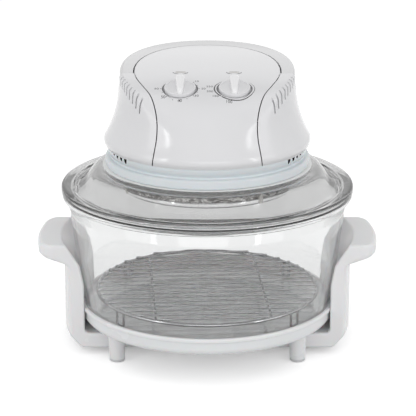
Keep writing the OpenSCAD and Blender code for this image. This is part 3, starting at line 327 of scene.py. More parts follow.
def joined(*meshes):
    """One mesh from several."""
    work = bmesh.new()
    for mesh in meshes:
        work.from_mesh(mesh)
    whole = bpy.data.meshes.new("joined")
    work.to_mesh(whole)
    work.free()
    return whole


def moved(mesh, *places):
    """Copies of a mesh at several places, in millimetres."""
    copies = [mesh.copy() for _ in places]
    for copy, place in zip(copies, places):
        copy.transform(Matrix.Translation(Vector(place) * MM))
    return joined(*copies)


base_white = plastic("base_white", (0.84, 0.84, 0.85), 0.26, 0.1, Subsurface_Weight=0.12, Subsurface_Scale=0.01)
dish_low, dish_floor, bead_low, dish_top = 34, 37, 50, 55
dish_r, dish_rim_r, dish_in_r = 145, 147.5, 143.3
foot_at = [(x, y, 0) for x in (-101.5, 101.5) for y in (-71, 71)]
arm_screw_r, arm_screw_y = 115, 20
arm_screw_at = [(side * arm_screw_r, y, 0) for side in (-1, 1) for y in (-arm_screw_y, arm_screw_y)]
dish = turned([
    (0, dish_low), (dish_r, dish_low, 14), (dish_r, bead_low, 0.6), (dish_rim_r, bead_low, 2.4),
    (dish_rim_r, dish_top, 2.4), (dish_in_r, dish_top, 1), (dish_in_r, dish_floor, 12.3), (0, dish_floor)], arc=12)
boss = turned([(2.2, dish_low), (6, dish_low, 0.1), (6, 39.6, 0.5), (2.2, 39.6)], closed=True, steps=32, arc=3)
dish = joined(dish, moved(boss, *foot_at, *arm_screw_at))
lay("base_dish_shell", dish, "base", base_white, "base_plastic", "base_dish")


# Feet
# Four tapered plastic feet stand on pale rubber pads, each held by one screw from below.
foot_low_r, foot_top_r, pad_top = 8.75, 10.25, 3
foot = turned([(2.2, 18.5), (4.4, 18.5), (4.4, pad_top), (foot_low_r, pad_top, 0.6), (foot_top_r, dish_low),
               (2.2, dish_low)], closed=True, steps=64, arc=4)
lay("tapered_feet", moved(foot, *foot_at), "base", base_white, "base_plastic", "feet")
pad_rubber = plastic("pale_rubber", (0.62, 0.62, 0.63), 0.6, 0.15, 1500.0, 0.15)
foot_pad = turned([(0, 0), (foot_low_r, 0, 1.5), (foot_low_r, pad_top, 0.4), (0, pad_top)], steps=64)
lay("rubber_feet", moved(foot_pad, *foot_at), "base", pad_rubber, "pad_rubber", "foot_pads")
rest_r = 118
rest_pad = turned([(0, dish_floor), (6, dish_floor), (6, 40.2, 0.8), (0, 40.2)], steps=40)
rest_pads = moved(rest_pad, (rest_r, 0, 0), (-rest_r, 0, 0), (0, rest_r, 0), (0, -rest_r, 0))
lay("bowl_rests", rest_pads, "base", pad_rubber, "pad_rubber", "rest_pads")


# Arms
# Each arm is one hollow moulding: a foot member under the dish, an upright post that hugs it, and
# a grip with a finger hollow. Its front and back edges are rounded over.
def cut(mesh, tool, how="DIFFERENCE"):
    """Boolean of two closed meshes."""
    a, b = in_scene("cut", mesh), in_scene("cut", tool)
    step = a.modifiers.new("cut", "BOOLEAN")
    step.operation, step.solver, step.object = how, "MANIFOLD", b
    made = settled(a)
    bpy.data.objects.remove(b)
    return made


def swept(verts, count, forward=False):
    """Closed mesh through rows of count points each, given in metres."""
    rows = len(verts) // count
    faces = [(i * count + j, i * count + (j + 1) % count, (i + 1) * count + (j + 1) % count, (i + 1) * count + j)
             for i in range(rows - 1) for j in range(count)]
    first, last = range(count), range((rows - 1) * count, rows * count)
    faces += [tuple(first), tuple(reversed(last))] if forward else [tuple(reversed(first)), tuple(last)]
    return outward(mesh_of("swept", verts, faces=faces))


def prism(outline, low, high, matrix=Matrix()):
    """Upright prism over a closed outline, turned by a matrix."""
    verts = [matrix @ Vector((x, y, z)) * MM for z in (low, high) for x, y in outline]
    return swept(verts, len(outline))


def arc_points(x, y, r, start, end, n):
    """Points of an arc about a centre, both ends included."""
    return [(x + r * math.cos(t), y + r * math.sin(t)) for t in np.linspace(start, end, n)]


def circle(x, y, r, n=128):
    return [(x + r * math.cos(TURN * k / n), y + r * math.sin(TURN * k / n)) for k in range(n)]


def block(x0, y0, z0, x1, y1, z1, matrix=Matrix()):
    return prism([(x0, y0), (x1, y0), (x1, y1), (x0, y1)], z0, z1, matrix)


def eased(mesh, crease):
    """Smooth shading that keeps flat faces flat beside their rounded edges."""
    shaded(mesh, crease)
    shape = in_scene("eased", mesh)
    shape.modifiers.new("eased", "WEIGHTED_NORMAL").keep_sharp = True
    return settled(shape)


grip_rim, grip_top, member_low, member_top, member_in_r = 193, 130, 7, 25, 84


def arm_outline():
    """Closed section of the arm through its middle, as (radius, height)."""
    outside = [
        (member_in_r, member_low, 3.1), (151.5, member_low, 7), (163.8, 21.5, 7), (163.8, 105.6, 6),
        (188.6, 113.2, 4.6), (grip_rim, 118.0, 3.1), (grip_rim, grip_top, 5)]
    inside = [
        (167, grip_top, 3.1), (151.8, 105, 6), (147.8, 82, 10), (147.8, member_top, 5), (128, member_top, 1),
        (128, dish_low, 3.1), (104, dish_low, 3.1), (104, member_top, 1), (member_in_r, member_top, 3.1)]
    return rounded(outside + inside, closed=True, steps=8)


def finger_hollow(side):
    """Hollow under the grip, which leaves its walls standing."""
    in_r, out_r, half, corner_r, round_r = 167.2, 187, 35.5, 171.7, 12
    line = [(math.sqrt(in_r ** 2 - y * y), y) for y in np.linspace(-half - round_r, half + round_r, 25)]
    line += arc_points(corner_r, half, round_r, math.pi / 2, 0.2, 8)
    line += [(math.sqrt(out_r ** 2 - y * y), y) for y in np.linspace(half, -half, 17)]
    line += arc_points(corner_r, -half, round_r, -0.2, -math.pi / 2, 8)
    return prism([(side * x, y) for x, y in line], 100, 127)


def arm_mesh(side):
    """Sweeps the section from front to back, round the bowl's axis."""
    line = np.array(arm_outline())
    ahead, back = np.roll(line, -1, 0) - line, line - np.roll(line, 1, 0)
    tangent = ahead / np.linalg.norm(ahead, axis=1)[:, None] + back / np.linalg.norm(back, axis=1)[:, None]
    inward = np.stack([-tangent[:, 1], tangent[:, 0]], 1)
    inward /= np.linalg.norm(inward, axis=1)[:, None]
    half, edge, corner, grip_from = 53.5, 3.0, 18.0, 165
    along = list(np.linspace(-half + edge, half - edge, 33))
    ends = np.linspace(math.pi / 2, 0, 7)[:-1]
    rows = [(-half + edge * (1 - math.sin(t)), edge * (1 - math.cos(t))) for t in ends]
    rows = rows + [(y, 0.0) for y in along] + [(-y, inset) for y, inset in reversed(rows)]
    mid = math.sqrt(grip_rim ** 2 - (half - corner) ** 2) - corner
    verts = []
    for y, inset in rows:
        over = max(abs(y) - (half - corner), 0.0)
        reach = math.hypot(mid + math.sqrt(max(corner ** 2 - over ** 2, 0.0)), y)
        for r, z in line + inward * inset:
            if r > grip_from and over:
                r = grip_from + (r - grip_from) * (reach - grip_from) / (grip_rim - grip_from)
            verts.append((side * math.sqrt(max(r * r - y * y, 0)) * MM, y * MM, z * MM))
    arm = cut(swept(verts, len(line), forward=True), finger_hollow(side))
    for y in (-arm_screw_y, arm_screw_y):
        arm = cut(arm, prism(circle(side * arm_screw_r, y, 2.2, 32), 0, 40))
        arm = cut(arm, prism(circle(side * arm_screw_r, y, 4.6, 32), 0, 16))
    return eased(arm, 40)


for side, label in ((-1, "left"), (1, "right")):
    lay(label + "_arm_shell", arm_mesh(side), "base", base_white, "base_plastic", label + "_arm", crease=0)


# Glass bowl and lid
# Both are pressed from clear heatproof glass. The bowl flares into a flange, and the lid is a low
# dome with a thick rim and a register that drops inside the bowl's mouth.
def clear_glass(name, tint, wave=0.25, size=24.0):
    """Pressed glass: clear, smooth, and faintly wavy from the mould."""
    mat = bpy.data.materials.new(name)
    mat.use_nodes = True
    tree = mat.node_tree
    shader = tree.nodes["Principled BSDF"]
    for label, value in (("Base Color", (*tint, 1)), ("Transmission Weight", 1.0), ("IOR", 1.47), ("Roughness", 0.02)):
        shader.inputs[label].default_value = value
    place = join_in(tree, "ShaderNodeTexCoord").outputs["Object"]
    flow = join_in(tree, "ShaderNodeTexNoise", {"Vector": place, "Scale": size, "Detail": 2.0}).outputs[0]
    relief = join_in(tree, "ShaderNodeBump", {"Height": flow, "Strength": wave, "Distance": 0.001})
    tree.links.new(relief.outputs[0], shader.inputs["Normal"])
    shadow = join_in(tree, "ShaderNodeLightPath").outputs["Is Shadow Ray"]
    open_air = join_in(tree, "ShaderNodeBsdfTransparent", {"Color": (0.985, 0.985, 0.985, 1)})
    mix = join_in(tree, "ShaderNodeMixShader", {0: shadow, 1: shader, 2: open_air})
    tree.links.new(mix.outputs[0], tree.nodes["Material Output"].inputs["Surface"])
    return mat


bowl_low, bowl_floor, flange_low, bowl_top = 40.5, 45, 176.7, 181.7
bowl_in_r, bowl_flange_r = 153.9, 164
bowl_glass = clear_glass("bowl_glass", (0.955, 0.96, 0.96))
bowl = turned([
    (0, bowl_low), (142.0, bowl_low, 16), (156.6, 162.7, 6), (162.0, flange_low, 2), (bowl_flange_r, flange_low, 2.3),
    (bowl_flange_r, bowl_top, 2.3), (bowl_in_r, bowl_top, 1.2), (bowl_in_r, flange_low, 3), (138.6, bowl_floor, 11.5),
    (0, bowl_floor)], steps=256, arc=12)
lay("bowl_pressing", bowl, "bowl", bowl_glass, "clear_glass", "glass_bowl", crease=60)


def dome_line(rise, count=10):
    """The lid's dome between its seat and its rim, as one cubic curve."""
    pulls = (118, 207), (132, 207), (135.8, 183), (151.8, 182)
    line = []
    for k in range(count + 1):
        t = k / count
        weights = ((1 - t) ** 3, 3 * (1 - t) ** 2 * t, 3 * (1 - t) * t * t, t ** 3)
        line.append(tuple(sum(w * c[i] for w, c in zip(weights, pulls)) + (rise if i else 0) for i in (0, 1)))
    return line


seat_low, seat_top, lid_hole_r, lid_r, lid_low, lid_top, register_low = 207, 212, 80, 165, 182, 190, 176
register_out_r, register_in_r, land_r, land_z = 152.7, 149.2, 114, 208.5
dome = [
    (lid_hole_r, seat_low, 1), (lid_hole_r, seat_top, 1), *dome_line(seat_top - seat_low)[:-1], (150.5, 187.3),
    (151.5, lid_top, 2.2), (lid_r, lid_top, 3.4), (lid_r, lid_low, 1.2), (register_out_r, lid_low, 0.5),
    (register_out_r, register_low, 1), (register_in_r, register_low, 1), (register_in_r, lid_low + 0.1, 0.6),
    *reversed(dome_line(0)[:-2])]
# The lid's grey tint is painted shade: the real glass is clear, and the grey stands in for the dark reflections seen in
# it and darkens what is seen through it.
lid_glass_painted_shade = clear_glass("lid_glass_painted_shade", (0.64, 0.64, 0.64), 0.3, 30.0)
lid = turned(dome, closed=True, steps=256, arc=6)
lay("lid_pressing", lid, "lid", lid_glass_painted_shade, "clear_glass", "glass_lid", crease=50)
# The pale band on the glass round the hole is partly the seat of the seal and partly painted light: it covers the dark
# ring that the thick glass shows there.
lid.materials.append(plastic("seal_land_painted_pale", (0.92, 0.92, 0.91), 0.6, 0.1, 900.0, 0.05))
for face in lid.polygons:
    if math.hypot(*face.center.xy) < land_r * MM and face.center.z > land_z * MM:
        face.material_index = 1


# Wire rack
# Chromed wire: a rim on four U legs carries the parallel bars, which are spot welded on top.
def drawn_pattern(tree, come, place):
    """Fine marks drawn or brushed along the metal, which are also its uneven polish."""
    pulled = join_in(tree, "ShaderNodeVectorMath", {0: place, 1: come["Stretch"]}, operation="MULTIPLY")
    grain = join_in(tree, "ShaderNodeTexNoise", {"Vector": pulled, "Scale": come["Grain"], "Detail": 5.0})
    return grain.outputs[0], grain.outputs[0]


METAL = surface_group("metal_surface", [("Grain", "Float"), ("Stretch", "Vector")], drawn_pattern, 0.25)


def metal(name, color, gloss=0.2, spread=0.2, grain=200.0, stretch=(1, 1, 1), bump=0.1, depth=0.0003):
    """Metal in one colour, from the shared surface group."""
    mat, shader = surfaced(name, METAL, bump, depth, Grain=grain, Stretch=stretch, Gloss=gloss, Spread=spread,
                           Color=(*color, 1))
    shader.inputs["Metallic"].default_value = 1.0
    return mat


def wire_tree():
    """Draws round wire along every line of a path."""
    tree, come, go = geometry_tree("drawn_wire", (
        ("Path", "Object"), ("Radius", "Float"), ("Sides", "Int"), ("Finish", "Material")))
    path = join_in(tree, "GeometryNodeObjectInfo", {"Object": come["Path"]})
    line = join_in(tree, "GeometryNodeMeshToCurve", {"Mesh": path.outputs["Geometry"]})
    girth = join_in(tree, "GeometryNodeCurvePrimitiveCircle", {"Resolution": come["Sides"], "Radius": come["Radius"]})
    sweep = join_in(tree, "GeometryNodeCurveToMesh", {
        "Curve": line, "Profile Curve": girth, "Fill Caps": True})
    real = join_in(tree, "GeometryNodeRealizeInstances", {"Geometry": sweep})
    paint = join_in(tree, "GeometryNodeSetMaterial", {"Geometry": real, "Material": come["Finish"]})
    tree.links.new(paint.outputs[0], go.inputs[0])
    return tree


WIRE = wire_tree()


def wire(lines, radius, finish, sides=12):
    """Wire along lines of points; a line that ends on its first point is closed."""
    verts, edges = [], []
    for line in lines:
        shut = np.allclose(line[0], line[-1])
        start, count = len(verts), len(line) - (1 if shut else 0)
        verts += [Vector(p) * MM for p in line[:count]]
        edges += [(start + i, start + (i + 1) % count) for i in range(count if shut else count - 1)]
    path = in_scene("path", mesh_of("path", verts, edges))
    made = result_of(WIRE, Path=path, Radius=radius * MM, Sides=sides, Finish=finish)
    bpy.data.objects.remove(path)
    return outward(made)


def ring_line(radius, height, count=120):
    angles = [TURN * k / count for k in range(count + 1)]
    return [(radius * math.sin(a), -radius * math.cos(a), height) for a in angles]


chrome = metal("chromed_wire", (0.42, 0.42, 0.43), 0.14, 0.12, 500.0, bump=0.05)
rack_r, rack_z, rack_turn, bar_pitch, bar_rise, bars_each_side = 126.3, 64.0, math.radians(4), 14, 2.95, 8
rim_wire_r, leg_wire_r, bar_wire_r = 2.0, 1.3, 1.05
leg_half, leg_bend, bend_r, bend_z = 5.8, 51.5, 3.5, 50.1
spin = np.array(((math.cos(rack_turn), -math.sin(rack_turn)), (math.sin(rack_turn), math.cos(rack_turn))))


def chord(x_of, y_of, height):
    """Three points of a straight wire across the rack, which is turned a little in the bowl."""
    return [(*(spin @ np.array((x, y))), height) for x, y in zip(x_of, y_of)]


loop = [(leg_half, rack_z), (leg_half, leg_bend)]
for x, quarter in ((leg_half - bend_r, 0), (bend_r - leg_half, -math.pi / 2)):
    loop += arc_points(x, bend_z, bend_r, quarter, quarter - math.pi / 2, 6)
loop += [(-leg_half, leg_bend), (-leg_half, rack_z)]
legs = []
for angle in (41, 139, 221, 319):
    a = math.radians(angle)
    out, across = np.array((math.cos(a), math.sin(a))), np.array((-math.sin(a), math.cos(a)))
    legs.append([(*(out * rack_r + across * s), z) for s, z in loop])
for x in (-rack_r / 2, rack_r / 2):
    reach = math.sqrt(rack_r ** 2 - x * x)
    legs.append(chord((x, x, x), (-reach, 0, reach), rack_z))
frame_wire = joined(wire([ring_line(rack_r, rack_z)], rim_wire_r, chrome, 16), wire(legs, leg_wire_r, chrome))
lay("rack_rim_and_legs", frame_wire, "rack", chrome, "chrome_wire", "rack_ring", crease=50)
bars = []
for i in range(-bars_each_side, bars_each_side + 1):
    y = bar_pitch * i
    reach = math.sqrt(rack_r ** 2 - y ** 2)
    bars.append(chord((-reach, 0, reach), (y, y, y), rack_z + bar_rise))
lay("rack_cross_bars", wire(bars, bar_wire_r, chrome, 10), "rack", chrome, "chrome_wire", "rack_bars", crease=50)


# Head shell
# The bell of the head is one smooth form: an upright wall that flares over a round lip, a brow
# above the front, and a top that falls forwards. Housing, panel and handle are cut from it.
EDGE, LIP_R, LIP_Z, LIP_ROUND = 234.6, 105.9, 241.4, 10.0
FLARE_R, FLARE_Z, SHELL_R = 122.0, 305.8, 98.7
TOP_Z, TOP_Y, TOP_FALL, TOP_BOW = 331.5, 85, 0.055, 0.00078


def top_z(y):
    """Height of the head's top, which falls and bows down towards the front."""
    return TOP_Z - TOP_FALL * (TOP_Y - y) - TOP_BOW * (TOP_Y - y) ** 2


def head_line(a, w, shell):
    """Half section at azimuth a from the front, inset by w, as (radius, height) from the foot up."""
    def wall(z):
        return shell - w if z >= FLARE_Z else shell + FLARE_R - math.sqrt((FLARE_R + w) ** 2 - (FLARE_Z - z) ** 2)

    ahead = min(max((math.cos(a) - 0.5) / 0.5, 0), 1)
    depth = max(5 + 31 * ahead * ahead * (3 - 2 * ahead) - w, 2)
    z = FLARE_Z
    for _ in range(8):
        z = top_z(-wall(z) * math.cos(a)) - w
    zw, rp = z - 0.9 * depth, wall(z) - depth
    low, high = np.array((wall(zw), zw)), np.array((rp, top_z(-rp * math.cos(a)) - w))
    up = np.array((wall(zw + 1) - wall(zw - 1), 2.0))
    out = np.array((1.0, top_z(-(rp + 1) * math.cos(a)) - top_z(-rp * math.cos(a))))
    q, s = low + 0.56 * depth * up / np.linalg.norm(up), high + 0.56 * depth * out / np.linalg.norm(out)
    start, end = -math.asin(6.7 / LIP_ROUND), math.radians(18)
    line = [(LIP_R + (LIP_ROUND - w) * math.cos(start), EDGE if not w else EDGE - 6)]
    line += arc_points(LIP_R, LIP_Z, LIP_ROUND - w, start, end, 7)
    start_z = LIP_Z + (LIP_ROUND - w) * math.sin(end) + 3
    for i in range(8):
        z = start_z + (zw - start_z) * i / 8
        line.append((wall(z), z))
    for i in range(10):
        u = i / 9
        p = (1 - u) ** 3 * low + 3 * (1 - u) ** 2 * u * q + 3 * (1 - u) * u * u * s + u ** 3 * high
        line.append((p[0], p[1]))
    for i in range(1, 7):
        r = rp * (1 - i / 7)
        line.append((r, top_z(-r * math.cos(a)) - w))
    return line


def head_form(w=0.0, shell=SHELL_R, steps=224):
    """Closed mesh of the whole bell, inset by w."""
    angles = [TURN * i / steps for i in range(steps)]
    rows = [head_line(a, w, shell) for a in angles]
    m = len(rows[0])
    verts = [(r * math.sin(a) * MM, -r * math.cos(a) * MM, z * MM) for a, row in zip(angles, rows) for r, z in row]
    verts += [(0, 0, rows[0][0][1] * MM), (0, 0, (top_z(0) - w) * MM)]
    faces = []
    for i in range(steps):
        k = (i + 1) % steps
        faces += [(i * m + j, k * m + j, k * m + j + 1, i * m + j + 1) for j in range(m - 1)]
        faces += [(i * m, steps * m, k * m), (i * m + m - 1, k * m + m - 1, steps * m + 1)]
    return outward(mesh_of("head_form", verts, faces=faces))


def tilted(x, y, z, angle, axis="X"):
    """Matrix of a place and a turn about one axis."""
    return Matrix.Translation((x, y, z)) @ Matrix.Rotation(angle, 4, axis)


def cone(r_low, r_high, low, high, matrix, n=160):
    """Round bar or cone along an axis that a matrix places."""
    angles = [TURN * k / n for k in range(n)]
    verts = [matrix @ Vector((r * math.cos(a), r * math.sin(a), z)) * MM
             for z, r in ((low, r_low), (high, r_high)) for a in angles]
    return swept(verts, n)


def skin_normals(mesh, form):
    """Gives every face that lies on the bell the bell's own smooth normals."""
    points = [v.co.copy() for v in form.vertices]
    sides = [tuple(p.vertices) for p in form.polygons]
    normals = [v.normal.copy() for v in form.vertices]
    finder = BVHTree.FromPolygons(points, sides)
    on_skin = {}
    for v in mesh.vertices:
        place, _, index, gap = finder.find_nearest(v.co)
        if gap is not None and gap < 4e-6:
            weights = poly_3d_calc([points[k] for k in sides[index]], place)
            total = sum((normals[k] * w for k, w in zip(sides[index], weights)), Vector())
            on_skin[v.index] = total.normalized()
    shaded(mesh, 25)
    custom = [Vector()] * len(mesh.loops)
    for face in mesh.polygons:
        if all(k in on_skin and on_skin[k].dot(face.normal) > 0.75 for k in face.vertices):
            for loop in face.loop_indices:
                custom[loop] = on_skin[mesh.loops[loop].vertex_index]
    mesh.normals_split_custom_set(custom)


ARC_R, ARC_Y, END_Y = 80.7, -8.3, -16.0
PIVOT_Y, PIVOT_Z, BAND_LOW, KNUCKLE, HANDLE_IN_R, KNUCKLE_CLEAR = -3.0, 311.02, 303.61, 14.75, 82.0, 0.5
BAND_LEAN = math.atan(0.132)
arc_axis = tilted(0, ARC_Y, top_z(ARC_Y), BAND_LEAN)


def seam_line():
    """Half width and height of the panel's front edge, smooth through a few measured points."""
    knots = [(80.7, 262), (80.3, 251), (76.6, 239.5), (68.6, 225), (61.6, 213), (57.4, 201),
             (54.5, 187), (53.6, 174), (54.5, 161), (56.7, 149), (59.5, 132), (61.4, 112)]
    line = []
    for i in range(len(knots) - 1):
        a, b, c, d = (np.array(knots[min(max(i + k, 0), len(knots) - 1)], float) for k in (-1, 0, 1, 2))
        for t in np.arange(8) / 8:
            bend = (2 * a - 5 * b + 4 * c - d) * t * t + (3 * b - a - 3 * c + d) * t ** 3
            line.append(0.5 * (2 * b + (c - a) * t + bend))
    return line


def panel_zone(grow):
    """Solid that holds the centre panel: a round back and a front drawn out along the seam."""
    round_top = prism(circle(0, ARC_Y, ARC_R + grow, 192), 200, 400)
    back = cut(round_top, block(-200, END_Y, 190, 200, 200, 410), "INTERSECT")
    run = seam_line()
    outline = [(p[0] + grow, p[1]) for p in run] + [(-p[0] - grow, p[1]) for p in reversed(run)]
    drawn = prism(outline, -400, 400, Matrix.Rotation(math.radians(55), 4, "X"))
    front = cut(drawn, block(-200, -300, 190, 200, END_Y + 0.01, 410), "INTERSECT")
    return cut(back, front, "UNION")


def arc_cone(grow):
    """The handle's inner face, which leans in towards the top."""
    return cone(HANDLE_IN_R + 9 + grow, HANDLE_IN_R - 9 + grow, -60, 60, arc_axis)


def handle_space(g):
    """Room of the folded handle and its two knuckles, grown by g."""
    room = block(-200, -g, -g, 200, 300, 200, tilted(0, PIVOT_Y, BAND_LOW, BAND_LEAN))
    room = cut(room, arc_cone(-g))
    room = cut(room, block(-300, PIVOT_Y - g - 400, 0, 300, PIVOT_Y - g, 500))
    inner = HANDLE_IN_R - g - (KNUCKLE_CLEAR if g else 0)
    for side in (-1, 1):
        across = tilted(side * inner, PIVOT_Y, PIVOT_Z, math.pi / 2 * side, "Y")
        room = cut(room, cone(KNUCKLE + g, KNUCKLE + g, 0, 40, across, 96), "UNION")
    return room


def slot_tree():
    """Row of upright cutters round the head, each starting a little higher than the last."""
    tree, come, go = geometry_tree("cooling_slots", (
        ("Count", "Int"), ("Width", "Float"), ("First angle", "Float"), ("Pitch", "Float"), ("Low", "Float"),
        ("Side", "Float")))
    size = join_in(tree, "ShaderNodeCombineXYZ", {0: 0.03, 1: come["Width"], 2: 0.4})
    bar = join_in(tree, "GeometryNodeMeshCube", {"Size": size})
    shift = join_in(tree, "GeometryNodeTransform", {"Geometry": bar, "Translation": (0.1098, 0, 0.2)})
    dots = join_in(tree, "GeometryNodeMeshLine", {"Count": come["Count"], "Offset": (0, 0, 0)})
    index = join_in(tree, "GeometryNodeInputIndex").outputs[0]
    step = maths(tree, "MULTIPLY_ADD", index, -0.00019, 0.0043)
    rise = join_in(tree, "ShaderNodeCombineXYZ", {2: maths(tree, "MULTIPLY_ADD", index, step, come["Low"])})
    placed = join_in(tree, "GeometryNodeSetPosition", {"Geometry": dots, "Offset": rise})
    swing = maths(tree, "MULTIPLY_ADD", index, come["Pitch"], come["First angle"])
    azimuth = maths(tree, "MULTIPLY_ADD", swing, come["Side"], -math.pi / 2)
    angle = join_in(tree, "ShaderNodeCombineXYZ", {2: azimuth})
    spread = join_in(tree, "GeometryNodeInstanceOnPoints", {
        "Points": placed, "Instance": shift, "Rotation": angle})
    real = join_in(tree, "GeometryNodeRealizeInstances", {"Geometry": spread})
    tree.links.new(real.outputs[0], go.inputs[0])
    return tree


SLOTS = slot_tree()
shell_wall, recess_wall, seam_gap, screw_r, boss_r, gland_z = 2.5, 3.0, 0.55, 100, 5, 262.6
slot_row = {"Count": 8, "Width": 2.0 * MM, "First angle": math.radians(46.8), "Pitch": math.radians(3.95),
            "Low": (EDGE + 50.7) * MM}
shell_white = plastic("shell_white", (0.76, 0.76, 0.775), 0.16, 0.06, 500.0, 0.02, Coat_Weight=0.4, Coat_Roughness=0.08)
outer, inner = head_form(), head_form(shell_wall)
recess = handle_space(recess_wall)
hollow = cut(inner.copy(), recess.copy())
for a in (20, 160, 200, 340):
    x, y = screw_r * math.cos(math.radians(a)), screw_r * math.sin(math.radians(a))
    hollow = cut(hollow, prism(circle(x, y, boss_r, 32), EDGE, EDGE + 14))
housing = cut(outer.copy(), hollow)
round_top = prism(circle(0, ARC_Y, 82.2, 192), EDGE, 420)
opening = cut(round_top, block(-200, END_Y, EDGE - 1, 200, 200, 421), "INTERSECT")
opening = cut(opening, panel_zone(seam_gap), "UNION")
opening = cut(opening, cut(recess, head_form(2.8), "INTERSECT"))
housing = cut(cut(housing, opening), handle_space(0.5))
for side in (-1, 1):
    housing = cut(housing, result_of(SLOTS, **slot_row, Side=float(side)))
housing = cut(housing, cone(8, 8, 80, 130, tilted(0, 0, gland_z, -math.pi / 2), 64))
skin_normals(housing, outer)
lay("housing_shell", housing, "lid", shell_white, "shell_plastic", "head_housing", crease=0)


# Centre panel
# A second moulding clips in the housing between its wings. It carries both dials in round
# recesses and the two indicator windows.
DIAL_X, DIAL_Y, DIAL_Z, DIAL_TILT = 29.5, -53, 309.06, math.radians(15.1)
LENS_Y, LENS_HALF, LENS_R = -14, 3.7, 2.3


def at_dial(side):
    return tilted(side * DIAL_X, DIAL_Y, DIAL_Z, DIAL_TILT)


def lens_cut(side):
    """Window of one indicator, square to the panel's slope."""
    slope = math.atan(TOP_FALL + 2 * TOP_BOW * (TOP_Y - LENS_Y))
    end = arc_points(LENS_HALF, 0, LENS_R, -math.pi / 2, math.pi / 2, 17)
    return prism(end + [(-x, -y) for x, y in end], -8, 10, tilted(side * DIAL_X, LENS_Y, top_z(LENS_Y), slope))


panel = cut(cut(outer.copy(), inner.copy()), panel_zone(-seam_gap), "INTERSECT")
under = head_form(2.0)
for side in (-1, 1):
    cup = cut(cone(20.5, 20.5, -4.4, 8, at_dial(side)), under.copy(), "INTERSECT")
    panel = cut(panel, cup, "UNION")
for side in (-1, 1):
    panel = cut(panel, cone(18.5, 18.5, -2.4, 18, at_dial(side)))
    panel = cut(panel, cone(3.5, 3.5, -20, 10, at_dial(side), 48))
    panel = cut(panel, lens_cut(side))
skin_normals(panel, outer)
lay("panel_shell", panel, "lid", shell_white, "shell_plastic", "centre_panel", crease=0)


# Panel print and painted shade
# Grey marks, plain numbers and the tapering heat scale, printed on the panel round the dials, and
# dark crescents beside the dials' recesses and along the two indicator windows, which are painted shade.
skin = BVHTree.FromPolygons([v.co.copy() for v in outer.vertices], [tuple(f.vertices) for f in outer.polygons])
print_and_painted_shade = plastic("grey_print_and_painted_shade", (0.07, 0.07, 0.075), 0.45, 0.1, 900.0, 0.05)
lean = 0.966


def on_skin(mesh, proud=0.06, sunk=0.03):
    """Lays a flat mesh drawn in plan on the bell, as a thin film."""
    for v in mesh.vertices:
        v.co.z = skin.ray_cast(Vector((v.co.x, v.co.y, 0.5)), Vector((0, 0, -1)))[0].z - sunk * MM
    work = bmesh.new()
    work.from_mesh(mesh)
    film = bmesh.ops.extrude_face_region(work, geom=work.faces[:])["geom"]
    lifted = [v for v in film if isinstance(v, bmesh.types.BMVert)]
    bmesh.ops.translate(work, verts=lifted, vec=(0, 0, (proud + sunk) * MM))
    work.to_mesh(mesh)
    work.free()
    return outward(mesh)


def flat_mesh(points, faces):
    return mesh_of("mark", [(x * MM, y * MM, 0) for x, y in points], faces=faces)


def stroke(x, y, radius, start, end, thick, taper=0.5, squeeze=lean, steps=40):
    """Arc about a point between two angles, thickest where taper says, 0 at its start to 1 at its end."""
    points = []
    for t in np.linspace(0, 1, steps):
        a = math.radians(start + (end - start) * t)
        swell = min(t / max(taper, 1e-3), (1 - t) / max(1 - taper, 1e-3), 1.0)
        half = thick * (0.12 + 0.88 * math.sin(swell * math.pi / 2)) / 2
        points += [(x + r * math.cos(a), y + r * math.sin(a) * squeeze) for r in (radius - half, radius + half)]
    return flat_mesh(points, [(2 * i, 2 * i + 1, 2 * i + 3, 2 * i + 2) for i in range(steps - 1)])


def number(value, x, y, height=3.5):
    """A plain number, centred on a point of the plan."""
    words = bpy.data.curves.new("number", "FONT")
    words.body, words.size, words.align_x, words.align_y = str(value), height * 1.4 * MM, "CENTER", "CENTER"
    mesh = settled(in_scene("number", words))
    mesh.transform(Matrix.Translation((x * MM, y * MM, 0)))
    return mesh


def tick(x, y, angle, near, far, half=0.35):
    """A short straight mark that points away from the dial."""
    u, v = math.cos(math.radians(angle)), math.sin(math.radians(angle))
    ends = (near, -half), (far, -half), (far, half), (near, half)
    return flat_mesh([(x + r * u + w * v, y + (r * v - w * u) * lean) for r, w in ends], [(0, 3, 2, 1)])


marks = []
for i, value in enumerate((10, 20, 30, 40, 50, 60)):
    a = math.radians(45 - 45 * i)
    rise = 23.5 if i == 0 else 20.2
    marks.append(number(value, 25.4 * math.cos(a) - DIAL_X, DIAL_Y + rise * math.sin(a)))
marks += [tick(-DIAL_X, DIAL_Y, 67.5 - 22.5 * i, 19.9, 21.6 if i % 2 else 20.9) for i in range(12)]
for value, angle in ((250, 168), (200, 195), (150, 221), (100, 257)):
    a = math.radians(angle)
    marks.append(number(value, DIAL_X + 27.6 * math.cos(a), DIAL_Y + 22.5 * math.sin(a)))
marks.append(stroke(DIAL_X, DIAL_Y, 21.9, 128, 400, 1.5, 0.25, 0.9))
# Painted shade in the print's dark colour: crescents at the left and right of each dial's recess, and two along the
# front of each indicator window, for the shadows of those recesses.
for x in (-DIAL_X, DIAL_X):
    marks += [stroke(x, DIAL_Y, 19.0, middle - 62, middle + 62, 1.1) for middle in (0, 180)]
    marks += [stroke(x, -13.2, 8.6, middle - 34, middle + 34, 1.5, squeeze=0.62) for middle in (222, 318)]
lay("panel_marks", joined(*(on_skin(m) for m in marks)), "lid", print_and_painted_shade, "black_plastic", crease=20)


